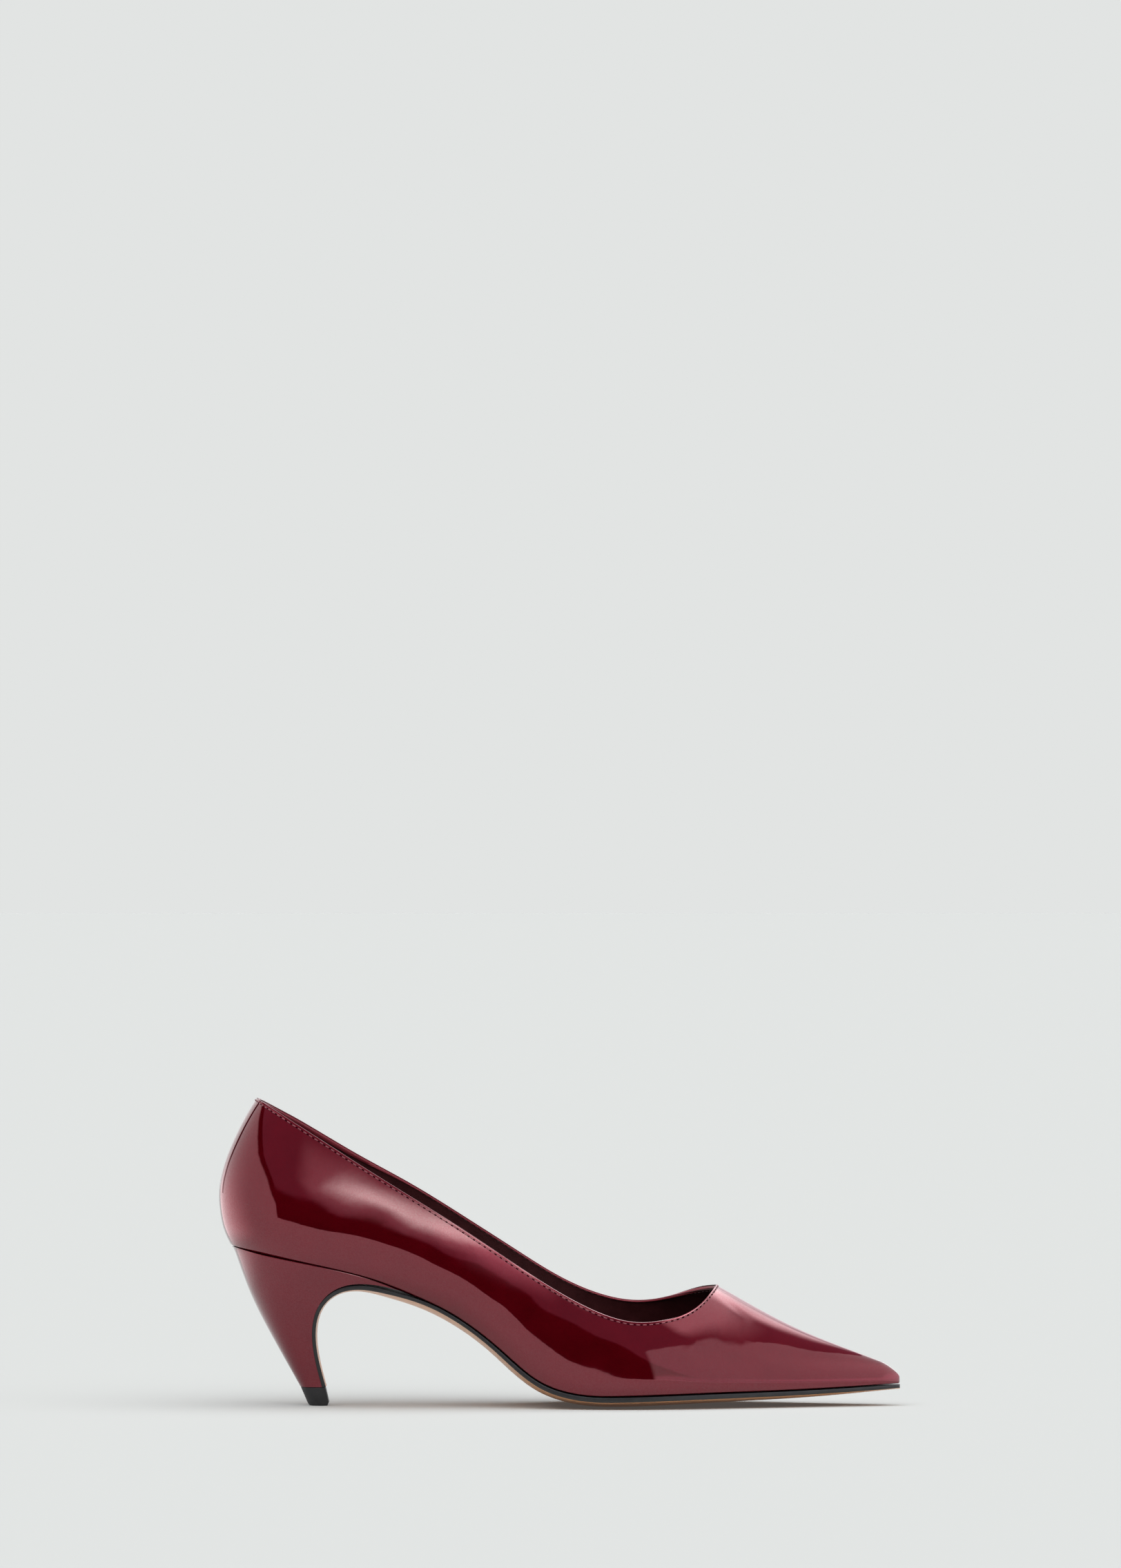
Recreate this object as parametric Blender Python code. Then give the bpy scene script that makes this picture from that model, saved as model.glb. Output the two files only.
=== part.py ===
"""Court shoe for a right foot: pointed toe, hollow upper, curved covered heel, cambered sole.

Sizes are millimetres until a mesh is made. +X runs to the toe, +Y to the medial (big toe) side,
+Z up, and the floor is z = 0. The last is described in side view: at each place (x, z) a half
width on either side of the middle plane.
"""

import math
from collections import namedtuple

import bmesh
import bpy
import numpy as np

MM = 0.001
GAP = 0.3  # clearance between neighbouring pieces

# Upper and insole
TOE_X = 128.0  # foremost point of the upper
NOSE_LENGTH = 7.0  # stretch over which the toe rounds off
NOSE_Z = 10.4  # height of that foremost point
THROAT_X = 58.9  # front end of the opening, on the ridge of the vamp
THROAT_FOOT_X = 84.0  # sole point from which the wall is drawn up and back to the throat
HEEL_CENTRE_X = -92.0  # behind this the last closes round the heel
HEEL_ROUNDING = 2.3  # 2 would close it as an ellipse
BELLY_EASE = 3  # 1 would widen the wall in a straight line from the sole to the belly
WALL = 1.8  # leather, stiffener and lining together
TOE_FILL = 5.0  # stiffener in front of the toe cavity
RIM_TOGETHER_X, RIM_APART_X = -111.0, -98.0  # here the two sides of the rim part in height
RIM_LOW_X = 28.0  # lowest point of the rim
RIM_TURN_X = 38.0  # from here to the throat the rim turns from facing up to facing back
INSOLE_THICK = 2.2
INSOLE_TIP_X = 118.0

# Sole
WELT = 0.5  # how far the sole edge stands out under the forefoot
WELT_FROM_X, WELT_FULL_X = -40.0, 0.0
SOLE_TIP_HALF = 1.0  # half width of the blunt front end

# Heel and its top piece
WING_TIP_X = -59.5  # front end of the thin wedge under the waist
WING_BLEND = 12.0  # stretch before it in which the sole takes its own width
HEEL_SIDE_PROUD = 0.4  # how far the heel stands out beside the foot of the upper
HEEL_FLARE = 1.3  # 1 would widen the heel in a straight line from tip to seat
BACK_CLIMB = 1.4  # 1 would climb the heel's back at the pace of its breast
SEAT_BEND = 6  # the higher, the later the levels of the heel bend to the curve of its seat
HEEL_FLOOR = 7.0  # underside of the heel, on the top piece
TIP_HALF = 5.5  # half width of the heel there
TIP_ROUND_SHARE = 0.62  # share of the tip's length that is rounded at the back
TOP_PIECE_BEVEL_Z = 1.2

# Mesh steps
HEEL_STEPS, QUARTER_STEPS, THROAT_STEPS, VAMP_STEPS = 10, 20, 9, 16
WALL_STEPS = 10
FOOT_CROWDING = 1.45  # over 1 crowds the rows of the wall towards the sole
TIP_CROWDING = 1.5  # over 1 crowds the stations of the insole towards its tip
SOLE_STEPS, SOLE_ACROSS = 64, 10
TOE_CROWDING = 0.35  # over 0 crowds the stations of the sole towards the toe
HEEL_RINGS, HEEL_SIDE_STEPS = 22, 5
SETTLE_ROUNDS = 40  # rounds in which a place is closed in on
TANGENT_STEP = 0.05  # half the stretch over which a direction is taken
SHARP_EDGE_DEG = 35

# Cross sections of the last: half widths at the sole and at the belly on the lateral and medial
# side, height of the belly above the sole, height at which the section would close, and how full
# it is below that.
Section = namedtuple("Section", "x foot_lat foot_med belly_lat belly_med rise crown fullness")
LAST = (
    Section(-124, 23.6, 23.6, 27.8, 27.8, 19, 149.0, 1.95),
    Section(-100, 24.4, 24.4, 28.6, 28.6, 19, 138.0, 1.95),
    Section(-80, 23.4, 22.6, 28.2, 27.8, 20, 128.0, 2.00),
    Section(-60, 21.2, 18.6, 27.4, 26.2, 21, 117.0, 2.10),
    Section(-40, 21.0, 16.6, 27.4, 25.4, 21, 105.5, 2.20),
    Section(-20, 26.0, 20.0, 30.0, 27.2, 23, 93.0, 2.60),
    Section(0, 32.6, 28.0, 34.8, 32.0, 16, 80.0, 2.85),
    Section(20, 36.2, 34.6, 37.8, 36.8, 8, 66.8, 2.75),
    Section(40, 34.6, 36.2, 36.4, 37.8, 8, 54.8, 2.15),
    Section(59, 28.8, 32.2, 30.6, 33.8, 7, 45.2, 1.65),
    Section(80, 21.2, 24.2, 22.8, 25.8, 6, 33.6, 1.55),
    Section(100, 13.6, 15.2, 14.8, 16.4, 5, 24.4, 1.55),
    Section(116, 7.6, 8.2, 8.4, 9.0, 4, 18.4, 1.55),
    Section(128, 3.2, 3.2, 3.6, 3.6, 3, 13.6, 1.60),
)

# Lower edge of the upper, seen from the side
SolePoint = namedtuple("SolePoint", "x z")
SOLE_LINE = (
    SolePoint(-124, 60.3),
    SolePoint(-112, 57.5),
    SolePoint(-100, 55.1),
    SolePoint(-85, 51.9),
    SolePoint(-70, 47.9),
    SolePoint(-55, 42.0),
    SolePoint(-42, 36.0),
    SolePoint(-31, 28.9),
    SolePoint(-20, 19.9),
    SolePoint(-10, 11.6),
    SolePoint(0, 7.0),
    SolePoint(10, 5.1),
    SolePoint(22, 4.8),
    SolePoint(40, 5.3),
    SolePoint(65, 5.9),
    SolePoint(90, 6.5),
    SolePoint(110, 7.3),
    SolePoint(128, 8.2),
)

# Edge of the opening, seen from either side
RimPoint = namedtuple("RimPoint", "x lat med")
TOPLINE = (
    RimPoint(-113.8, 115.6, 115.6),
    RimPoint(-96, 104.6, 105.4),
    RimPoint(-76, 91.8, 93.6),
    RimPoint(-56, 79.3, 82.6),
    RimPoint(-36, 66.8, 70.3),
    RimPoint(-16, 53.6, 57.4),
    RimPoint(0, 43.6, 47.5),
    RimPoint(14, 36.5, 41.2),
    RimPoint(RIM_LOW_X, 32.6, 38.3),
    RimPoint(39, 33.2, 39.4),
    RimPoint(47, 35.4, 42.0),
    RimPoint(54, 39.9, 44.3),
    RimPoint(THROAT_X, 45.2, 45.2),
)

# Back of the upper and back of the heel, seen from the side
BackPoint = namedtuple("BackPoint", "z x")
UPPER_BACK = (
    BackPoint(58, -122.2),
    BackPoint(62, -124.4),
    BackPoint(66, -126.1),
    BackPoint(72, -127.5),
    BackPoint(80, -128.0),
    BackPoint(88, -126.8),
    BackPoint(96, -124.2),
    BackPoint(104, -120.6),
    BackPoint(112, -116.2),
    BackPoint(120, -110.8),
)
HEEL_BACK = (
    BackPoint(HEEL_FLOOR, -97.4),
    BackPoint(24, -107.0),
    BackPoint(42, -116.3),
    BackPoint(59.5, -123.1),
)

# Face of the sole flap against the heel's breast, from the tip up and round to the wedge
BREAST = (
    SolePoint(-89.0, 7.4),
    SolePoint(-91.4, 17.0),
    SolePoint(-92.5, 27.5),
    SolePoint(-90.3, 37.0),
    SolePoint(-84.3, 43.2),
    SolePoint(-75.5, 45.4),
    SolePoint(-66.5, 44.3),
    SolePoint(-58.5, 42.4),
)
SHANK_JOIN_X = -50.0  # in front of this the sole follows the lower edge of the upper
SHANK_STEP = 8.9

# Sole thickness at its edge, and how much thicker it is along its middle, by distance from the
# lower end of the flap
Thickness = namedtuple("Thickness", "run edge camber")
SOLE_THICKNESS = (
    Thickness(0, 1.1, 0.3),
    Thickness(30, 1.1, 0.5),
    Thickness(45, 1.2, 1.1),
    Thickness(65, 1.3, 2.2),
    Thickness(100, 1.4, 2.2),
    Thickness(135, 1.7, 2.7),
    Thickness(160, 1.8, 3.05),
    Thickness(200, 1.7, 2.3),
    Thickness(235, 1.5, 1.4),
    Thickness(263, 1.3, 0.3),
)

# Outline of the top piece at three heights: back, front and half width
TipRing = namedtuple("TipRing", "z back front half")
TOP_PIECE = (
    TipRing(0.0, -94.1, -87.3, 4.7),
    TipRing(TOP_PIECE_BEVEL_Z, -94.8, -86.7, 5.1),
    TipRing(HEEL_FLOOR - GAP, -97.3, -88.0, 5.5),
)

# Surface finishes: linear colour and roughness
Finish = namedtuple("Finish", "colour roughness")
PATENT = Finish((0.085, 0.003, 0.008), 0.06)
HEEL_COVER = Finish((0.080, 0.003, 0.008), 0.06)
SOCK = Finish((0.020, 0.010, 0.009), 0.55)
TAN_SOLE = Finish((0.42, 0.22, 0.12), 0.40)
BLACK_TIP = Finish((0.018, 0.018, 0.019), 0.50)

LATERAL, MEDIAL = -1, 1

# A layer of the upper: how far it lies inside the outer face, and where its toe ends
Layer = namedtuple("Layer", "inset tip")
FACE = Layer(0.0, TOE_X)
LINING = Layer(WALL, TOE_X - TOE_FILL)
INSOLE_EDGE = Layer(WALL + GAP, INSOLE_TIP_X)


def spline(knots, values):
    """A curve of one variable with continuous bend, run out straight past both ends."""
    x = np.array(knots, float)
    y = np.array(values, float)
    step = np.diff(x)
    rise = np.diff(y) / step
    matrix = np.eye(len(x))
    right = np.zeros(len(x))
    for i in range(1, len(x) - 1):
        matrix[i, i - 1 : i + 2] = step[i - 1], 2 * (step[i - 1] + step[i]), step[i]
        right[i] = 6 * (rise[i] - rise[i - 1])
    bend = np.linalg.solve(matrix, right)
    first_slope = rise[0] - step[0] * bend[1] / 6
    last_slope = rise[-1] + step[-1] * bend[-2] / 6

    def at(value):
        if value <= x[0]:
            return float(y[0] + first_slope * (value - x[0]))
        if value >= x[-1]:
            return float(y[-1] + last_slope * (value - x[-1]))
        i = int(np.searchsorted(x, value, "right")) - 1
        b = (value - x[i]) / step[i]
        a = 1 - b
        sag = (a**3 - a) * bend[i] + (b**3 - b) * bend[i + 1]
        return float(a * y[i] + b * y[i + 1] + sag * step[i] ** 2 / 6)

    return at


def column(table, key, value):
    """The curve of one named column of a table over another."""
    return spline([getattr(row, key) for row in table], [getattr(row, value) for row in table])


sole_line = column(SOLE_LINE, "x", "z")
upper_back = column(UPPER_BACK, "z", "x")
heel_back = column(HEEL_BACK, "z", "x")
crown = column(LAST, "x", "crown")
fullness = column(LAST, "x", "fullness")
belly_rise = column(LAST, "x", "rise")
foot = {LATERAL: column(LAST, "x", "foot_lat"), MEDIAL: column(LAST, "x", "foot_med")}
belly = {LATERAL: column(LAST, "x", "belly_lat"), MEDIAL: column(LAST, "x", "belly_med")}
rim = {LATERAL: column(TOPLINE, "x", "lat"), MEDIAL: column(TOPLINE, "x", "med")}
sole_edge = column(SOLE_THICKNESS, "run", "edge")
sole_camber = column(SOLE_THICKNESS, "run", "camber")


def clamp(value, low=0.0, high=1.0):
    return min(max(value, low), high)


def mix(a, b, share):
    return a + (b - a) * share


def ease(value, start, end):
    """0 before start, 1 after end, smooth between."""
    t = clamp((value - start) / (end - start))
    return t * t * (3 - 2 * t)


def nose(x, tip):
    """Scale of a section near the toe: 1 behind the nose and 0 at its tip."""
    ahead = clamp((x - tip + NOSE_LENGTH) / NOSE_LENGTH)
    return math.sqrt(1 - ahead**2)


def ridge(x, layer):
    """Height at which the section closes."""
    return NOSE_Z + (crown(x) - layer.inset - NOSE_Z) * nose(x, layer.tip)


def heel_closing(share):
    """Half width round the heel, from 1 at its sides to 0 at its back."""
    return math.sqrt(1 - clamp(share) ** HEEL_ROUNDING)


def heel_x(z, share, layer):
    """Place along the shoe of a point round the heel."""
    return mix(HEEL_CENTRE_X, upper_back(z) + layer.inset, share)


def half_width(x, z, side, layer):
    """Half width of the last at a place in side view."""
    above = z - sole_line(x)
    swell = 1 - (1 - clamp(above / belly_rise(x))) ** BELLY_EASE
    wide = mix(foot[side](x), belly[side](x), swell) - layer.inset
    share = clamp(above / (ridge(x, layer) - sole_line(x)))
    wide *= math.sqrt(1 - share ** fullness(x)) * nose(x, layer.tip)
    if x < HEEL_CENTRE_X:
        back = upper_back(z) + layer.inset
        wide *= heel_closing((HEEL_CENTRE_X - x) / (HEEL_CENTRE_X - back))
    return wide


def rim_height(x, side, layer):
    """Edge of the opening: both sides meet at the back, and the lining meets its ridge in front."""
    middle = (rim[LATERAL](x) + rim[MEDIAL](x)) / 2
    height = mix(middle, rim[side](x), ease(x, RIM_TOGETHER_X, RIM_APART_X))
    return height - layer.inset * ease(x, RIM_TURN_X, THROAT_X)


def settle(height, share, layer):
    """The point round the heel, at a share of the way to the back, that lies on a height curve."""
    z = height(HEEL_CENTRE_X)
    for _ in range(SETTLE_ROUNDS):
        x = heel_x(z, share, layer)
        z = height(x)
    return x, z


class Solid:
    """Faces between points, where points that coincide are one vertex."""

    def __init__(self):
        self.corners = {}
        self.faces = []

    def face(self, *points):
        loop = []
        for point in points:
            key = tuple(round(float(c), 4) for c in point)
            index = self.corners.setdefault(key, len(self.corners))
            if index not in loop:
                loop.append(index)
        if len(loop) > 2:
            self.faces.append(loop)

    def strip(self, first, second):
        for a, b, c, d in zip(first, first[1:], second[1:], second):
            self.face(a, b, c, d)

    def sheet(self, rows):
        for first, second in zip(rows, rows[1:]):
            self.strip(first, second)

    def make(self, name, finish):
        """The Blender object, faces outward, with its own material."""
        mesh = bpy.data.meshes.new(name)
        mesh.from_pydata([[c * MM for c in corner] for corner in self.corners], [], self.faces)
        shape = bmesh.new()
        shape.from_mesh(mesh)
        bmesh.ops.recalc_face_normals(shape, faces=shape.faces)
        shape.to_mesh(mesh)
        shape.free()
        mesh.shade_smooth()
        mesh.set_sharp_from_angle(angle=math.radians(SHARP_EDGE_DEG))
        mesh.materials.append(principled(name, finish))
        made = bpy.data.objects.new(name, mesh)
        bpy.context.scene.collection.objects.link(made)
        return made


def principled(name, finish):
    material = bpy.data.materials.new(name)
    material.use_nodes = True
    shader = material.node_tree.nodes["Principled BSDF"]
    shader.inputs["Base Color"].default_value = (*finish.colour, 1)
    shader.inputs["Roughness"].default_value = finish.roughness
    return material


def steps(count):
    """Even shares from 0 to 1."""
    return [i / count for i in range(count + 1)]


def round_steps(count):
    """Shares from 1 to 0 that lie evenly round a curve which closes like an ellipse."""
    return [math.cos(share * math.pi / 2) for share in steps(count)]


# A column of the wall in side view: its ends, its share of the way round the heel if it is there,
# and whether it ends on the ridge or is the very tip
Column = namedtuple("Column", "foot top heel_share on_ridge at_tip")


def upper_columns(side, layer):
    """Columns of the wall, from the middle of the heel's back to the toe."""

    def top(x):
        return rim_height(x, side, layer)

    columns = []
    for share in round_steps(HEEL_STEPS):
        ends = settle(sole_line, share, layer), settle(top, share, layer)
        columns.append(Column(*ends, share, False, False))
    for share in steps(QUARTER_STEPS)[1:]:
        x = mix(HEEL_CENTRE_X, RIM_LOW_X, share)
        columns.append(Column((x, sole_line(x)), (x, top(x)), None, False, False))
    for share in steps(THROAT_STEPS)[1:-1]:
        foot_x = mix(RIM_LOW_X, THROAT_FOOT_X, share)
        top_x = mix(RIM_LOW_X, THROAT_X, math.sin(share * math.pi / 2))
        columns.append(Column((foot_x, sole_line(foot_x)), (top_x, top(top_x)), None, False, False))
    for share in steps(VAMP_STEPS):
        forward = math.sin(share * math.pi / 2)
        foot_x, top_x = mix(THROAT_FOOT_X, layer.tip, forward), mix(THROAT_X, layer.tip, forward)
        ends = (foot_x, sole_line(foot_x)), (top_x, ridge(top_x, layer))
        columns.append(Column(*ends, None, True, share == 1))
    return columns


def reach(top, layer):
    """How high the top of a column is, as a share of the way from the sole to the ridge."""
    x, z = top
    return clamp((z - sole_line(x)) / (ridge(x, layer) - sole_line(x)))


def wall_column(side, layer, place):
    """Points of one column, from the sole up to the rim or the ridge."""
    open_share = half_width(*place.top, side, layer) / max(half_width(*place.foot, side, layer), GAP)
    closed = 1.0 if place.on_ridge else clamp(1 - open_share)
    highest = reach(place.top, layer)
    points = []
    for share in steps(WALL_STEPS):
        up = share**FOOT_CROWDING
        if place.heel_share is None:
            x = mix(place.foot[0], place.top[0], share)
            up = highest * mix(up, math.sin(up * math.pi / 2), closed)
            z = mix(sole_line(x), ridge(x, layer), up)
        else:
            z = mix(place.foot[1], place.top[1], up)
            x = heel_x(z, place.heel_share, layer)
        on_middle = place.heel_share == 1 or place.at_tip or (share == 1 and place.on_ridge)
        y = 0.0 if on_middle else side * half_width(x, z, side, layer)
        points.append((x, y, z))
    return points


def upper_grid(side, layer):
    return [wall_column(side, layer, place) for place in upper_columns(side, layer)]


def make_upper():
    """One hollow shell, open at the top and along the sole."""
    solid = Solid()
    rim_columns = HEEL_STEPS + QUARTER_STEPS + THROAT_STEPS + 1
    for side in (LATERAL, MEDIAL):
        face = upper_grid(side, FACE)
        lining = upper_grid(side, LINING)
        solid.sheet(face)
        solid.sheet(lining)
        solid.strip([points[0] for points in face], [points[0] for points in lining])
        solid.strip(
            [points[-1] for points in face[:rim_columns]],
            [points[-1] for points in lining[:rim_columns]],
        )
    return solid.make("upper", PATENT)


def insole_edge(side, lift):
    """One long edge of the insole, from the heel's back to its tip."""

    def height(x):
        return sole_line(x) + lift

    places = [settle(height, share, INSOLE_EDGE)[0] for share in round_steps(HEEL_STEPS)]
    count = QUARTER_STEPS + THROAT_STEPS + VAMP_STEPS
    for share in steps(count)[1:]:
        places.append(mix(HEEL_CENTRE_X, INSOLE_TIP_X, 1 - (1 - share) ** TIP_CROWDING))
    edge = []
    for i, x in enumerate(places):
        ends = i in (0, len(places) - 1)
        y = 0.0 if ends else side * half_width(x, height(x), side, INSOLE_EDGE)
        edge.append((x, y, height(x)))
    return edge


def make_insole():
    """Board and sock in one, lying inside the upper on the sole and the heel."""
    solid = Solid()
    under = [insole_edge(side, 0.0) for side in (LATERAL, MEDIAL)]
    over = [insole_edge(side, INSOLE_THICK) for side in (LATERAL, MEDIAL)]
    solid.strip(*under)
    solid.strip(*over)
    solid.strip(under[0], over[0])
    solid.strip(under[1], over[1])
    return solid.make("insole", SOCK)


class SidePath:
    """A smooth path in side view, by distance along it."""

    def __init__(self, points):
        x, z = np.array(points, float).T
        run = np.concatenate([[0], np.cumsum(np.hypot(np.diff(x), np.diff(z)))])
        self.x = spline(run, x)
        self.z = spline(run, z)
        self.length = float(run[-1])

    def at(self, run):
        return np.array([self.x(run), self.z(run)])

    def left(self, run):
        """Unit direction to the left of the way along the path."""
        along = self.at(run + TANGENT_STEP) - self.at(run - TANGENT_STEP)
        along /= np.hypot(*along)
        return np.array([-along[1], along[0]])


def sole_path():
    """Upper face of the sole: up the heel's breast, over its arch and along the foot to the toe."""
    shank = np.arange(SHANK_JOIN_X, TOE_X, SHANK_STEP)
    under_foot = [(x, sole_line(x) - GAP) for x in [*shank, TOE_X]]
    return SidePath([*[tuple(point) for point in BREAST], *under_foot])


SOLE_PATH = sole_path()


def wing_run():
    """Distance along the sole at which the heel's wedge ends."""
    low, high = 0.0, SOLE_PATH.length
    for _ in range(SETTLE_ROUNDS):
        middle = (low + high) / 2
        if SOLE_PATH.x(middle) < WING_TIP_X:
            low = middle
        else:
            high = middle
    return low


WING_RUN = wing_run()


def climb(share):
    """Share of the heel's back that goes with a share of its breast, which runs on under the waist."""
    return 1 - (1 - share) ** BACK_CLIMB


def heel_half(x, z, side):
    """Half width of the heel at a place in side view."""
    seat = foot[side](x) + HEEL_SIDE_PROUD
    up = clamp((z - HEEL_FLOOR) / (sole_line(x) - GAP - HEEL_FLOOR))
    return mix(TIP_HALF, seat, up**HEEL_FLARE)


def heel_front(share):
    """Breast of the heel in side view, up to the front end of the wedge."""
    if share == 1:
        return np.array([WING_TIP_X, sole_line(WING_TIP_X) - GAP])
    run = share * WING_RUN
    return SOLE_PATH.at(run) + GAP * SOLE_PATH.left(run)


def heel_rear(share):
    """Back of the heel in side view."""
    back_x = HEEL_BACK[-1].x
    z = mix(HEEL_FLOOR, sole_line(back_x) - GAP, climb(share))
    return np.array([heel_back(z), z])


def round_outline(rounded):
    """(share forward, width share) of a half outline that closes round its back."""
    outline = [(rounded * (1 - share), heel_closing(share)) for share in round_steps(HEEL_STEPS)]
    return outline + [(mix(rounded, 1, share), 1.0) for share in steps(HEEL_SIDE_STEPS)[1:]]


def heel_ring(share, side):
    """Half outline of the heel at one level, from the middle of its back to its breast."""
    rear, front = heel_rear(share), heel_front(share)
    seat_round = (HEEL_CENTRE_X - HEEL_BACK[-1].x) / (WING_TIP_X - HEEL_BACK[-1].x)
    rounded = mix(TIP_ROUND_SHARE, seat_round, climb(share))
    ring = []
    for along, width in round_outline(rounded):
        x, z = mix(rear, front, along)
        z = mix(z, sole_line(x) - GAP, share**SEAT_BEND)
        ring.append((x, side * width * heel_half(x, z, side), z))
    return ring


def close_rings(solid, rings):
    """A closed body from stacked pairs of half outlines."""
    for side in (0, 1):
        solid.sheet([pair[side] for pair in rings])
    solid.sheet([[pair[0][-1], pair[1][-1]] for pair in rings])
    for pair in (rings[0], rings[-1]):
        solid.strip(*pair)


def make_heel():
    solid = Solid()
    levels = steps(HEEL_RINGS)
    rings = [[heel_ring(share, side) for side in (LATERAL, MEDIAL)] for share in levels]
    floor = [[(x, y, HEEL_FLOOR) for x, y, _ in half] for half in rings[0]]
    close_rings(solid, [floor, *rings[1:]])
    return solid.make("heel", HEEL_COVER)


def make_top_piece():
    """Black tip under the heel, flat on the floor."""
    solid = Solid()
    rings = []
    for level in TOP_PIECE:
        pair = []
        for side in (LATERAL, MEDIAL):
            outline = round_outline(TIP_ROUND_SHARE)
            pair.append(
                [(mix(level.back, level.front, a), side * level.half * w, level.z) for a, w in outline]
            )
        rings.append(pair)
    close_rings(solid, rings)
    return solid.make("top_piece", BLACK_TIP)


def sole_half(run, side):
    """Half width of the sole: the heel's breast, then the foot of the upper and its welt."""
    x, z = SOLE_PATH.at(run)
    welt = WELT * ease(x, WELT_FROM_X, WELT_FULL_X)
    heel_match = HEEL_SIDE_PROUD * (1 - ease(x, WING_TIP_X, WELT_FROM_X))
    wide = foot[side](x) * nose(x, TOE_X) + welt + heel_match
    if run < WING_RUN:
        wide = mix(heel_half(x, z, side), wide, ease(run, WING_RUN - WING_BLEND, WING_RUN))
    return max(wide, SOLE_TIP_HALF)


def sole_section(run):
    """(upper row, lower row) of points across the sole."""
    top, left = SOLE_PATH.at(run), SOLE_PATH.left(run)
    upper_row, lower_row = [], []
    for share in steps(SOLE_ACROSS):
        across = 2 * share - 1
        side = LATERAL if across < 0 else MEDIAL
        y = across * sole_half(run, side)
        thick = sole_edge(run) + sole_camber(run) * (1 - across**2)
        x, z = top - thick * left
        upper_row.append((top[0], y, top[1]))
        lower_row.append((x, y, max(z, 0.0)))
    return upper_row, lower_row


def make_outsole():
    """Sole with its flap down the heel's breast; the tread is flat where it meets the floor."""
    solid = Solid()
    runs = []
    for share in steps(SOLE_STEPS):
        even, crowded = share, math.sin(share * math.pi / 2)
        runs.append(SOLE_PATH.length * mix(even, crowded, TOE_CROWDING * share))
    sections = [sole_section(run) for run in runs]
    solid.sheet([section[0] for section in sections])
    solid.sheet([section[1] for section in sections])
    for edge in (0, -1):
        solid.strip([s[0][edge] for s in sections], [s[1][edge] for s in sections])
    for end in (sections[0], sections[-1]):
        solid.strip(*end)
    return solid.make("outsole", TAN_SOLE)


def main():
    for old in list(bpy.data.objects):
        bpy.data.objects.remove(old)
    make_upper()
    make_insole()
    make_outsole()
    make_heel()
    make_top_piece()


main()
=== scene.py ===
"""Looks of the court shoe: patent upper and heel, lining, stitches, sole, floor, light and camera.

Sizes are millimetres until a mesh is made. +X runs to the toe, +Y to the medial (big toe) side and
+Z up. The tables of the last, the rim, the sole and the heel are those the solids are made from.
"""

import math
from collections import namedtuple

import bmesh
import bpy
import numpy as np
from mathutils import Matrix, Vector
from mathutils.bvhtree import BVHTree


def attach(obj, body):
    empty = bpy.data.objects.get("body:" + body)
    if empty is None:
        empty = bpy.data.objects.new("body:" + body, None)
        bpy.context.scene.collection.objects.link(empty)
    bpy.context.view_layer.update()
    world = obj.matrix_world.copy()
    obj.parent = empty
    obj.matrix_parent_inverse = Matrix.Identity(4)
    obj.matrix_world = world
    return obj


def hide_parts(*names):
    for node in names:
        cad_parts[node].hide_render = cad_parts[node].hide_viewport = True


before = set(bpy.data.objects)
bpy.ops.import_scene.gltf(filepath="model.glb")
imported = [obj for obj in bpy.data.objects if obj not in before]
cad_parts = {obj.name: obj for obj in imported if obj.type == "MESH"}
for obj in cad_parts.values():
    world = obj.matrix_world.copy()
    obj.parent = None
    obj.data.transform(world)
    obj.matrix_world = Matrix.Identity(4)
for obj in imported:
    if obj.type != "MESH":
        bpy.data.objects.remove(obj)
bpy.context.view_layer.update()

MM = 0.001
GAP = 0.3  # clearance between neighbouring pieces
SEAT_SEAM = 0.06  # and what is left of it over the heel, so that no light shows through
LEAST = 0.3  # shortest length that is divided by
WELD_DIGITS = 4  # decimals to which points that coincide agree
LATERAL, MEDIAL = SIDES = -1, 1

# Upper and insole
TOE_X = 128.0
NOSE_LENGTH = 7.0
NOSE_Z = 10.4
THROAT_X = 58.9
THROAT_FOOT_X = 84.0
HEEL_CENTRE_X = -92.0
HEEL_ROUNDING = 2.3
BELLY_EASE = 3
WALL = 1.8
TOE_FILL = 5.0
RIM_TOGETHER_X, RIM_APART_X = -111.0, -98.0
RIM_LOW_X = 28.0
RIM_TURN_X = 38.0
INSOLE_THICK = 2.2
INSOLE_TIP_X = 118.0

# Sole
WELT = 0.5
WELT_FROM_X, WELT_FULL_X = -40.0, 0.0
SOLE_TIP_HALF = 1.0

# Heel and its top piece
WING_TIP_X = -59.5
WING_BLEND = 12.0
WING_FEATHER = 4.5  # how far the thin end of the wedge runs on
FLAP_SEAT = 0.35  # how far the flap is let into the heel's breast
FLAP_REACH = 0.4  # and how far it runs on towards the top piece
HEEL_SIDE_PROUD = 0.4
HEEL_FLARE = 1.3
BACK_CLIMB = 1.4
SEAT_BEND = 6
HEEL_FLOOR = 7.0
TIP_SEAM = 0.04
TIP_HALF = 5.5
TIP_ROUND_SHARE = 0.62
TIP_BEVEL_Z = 1.2

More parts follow.
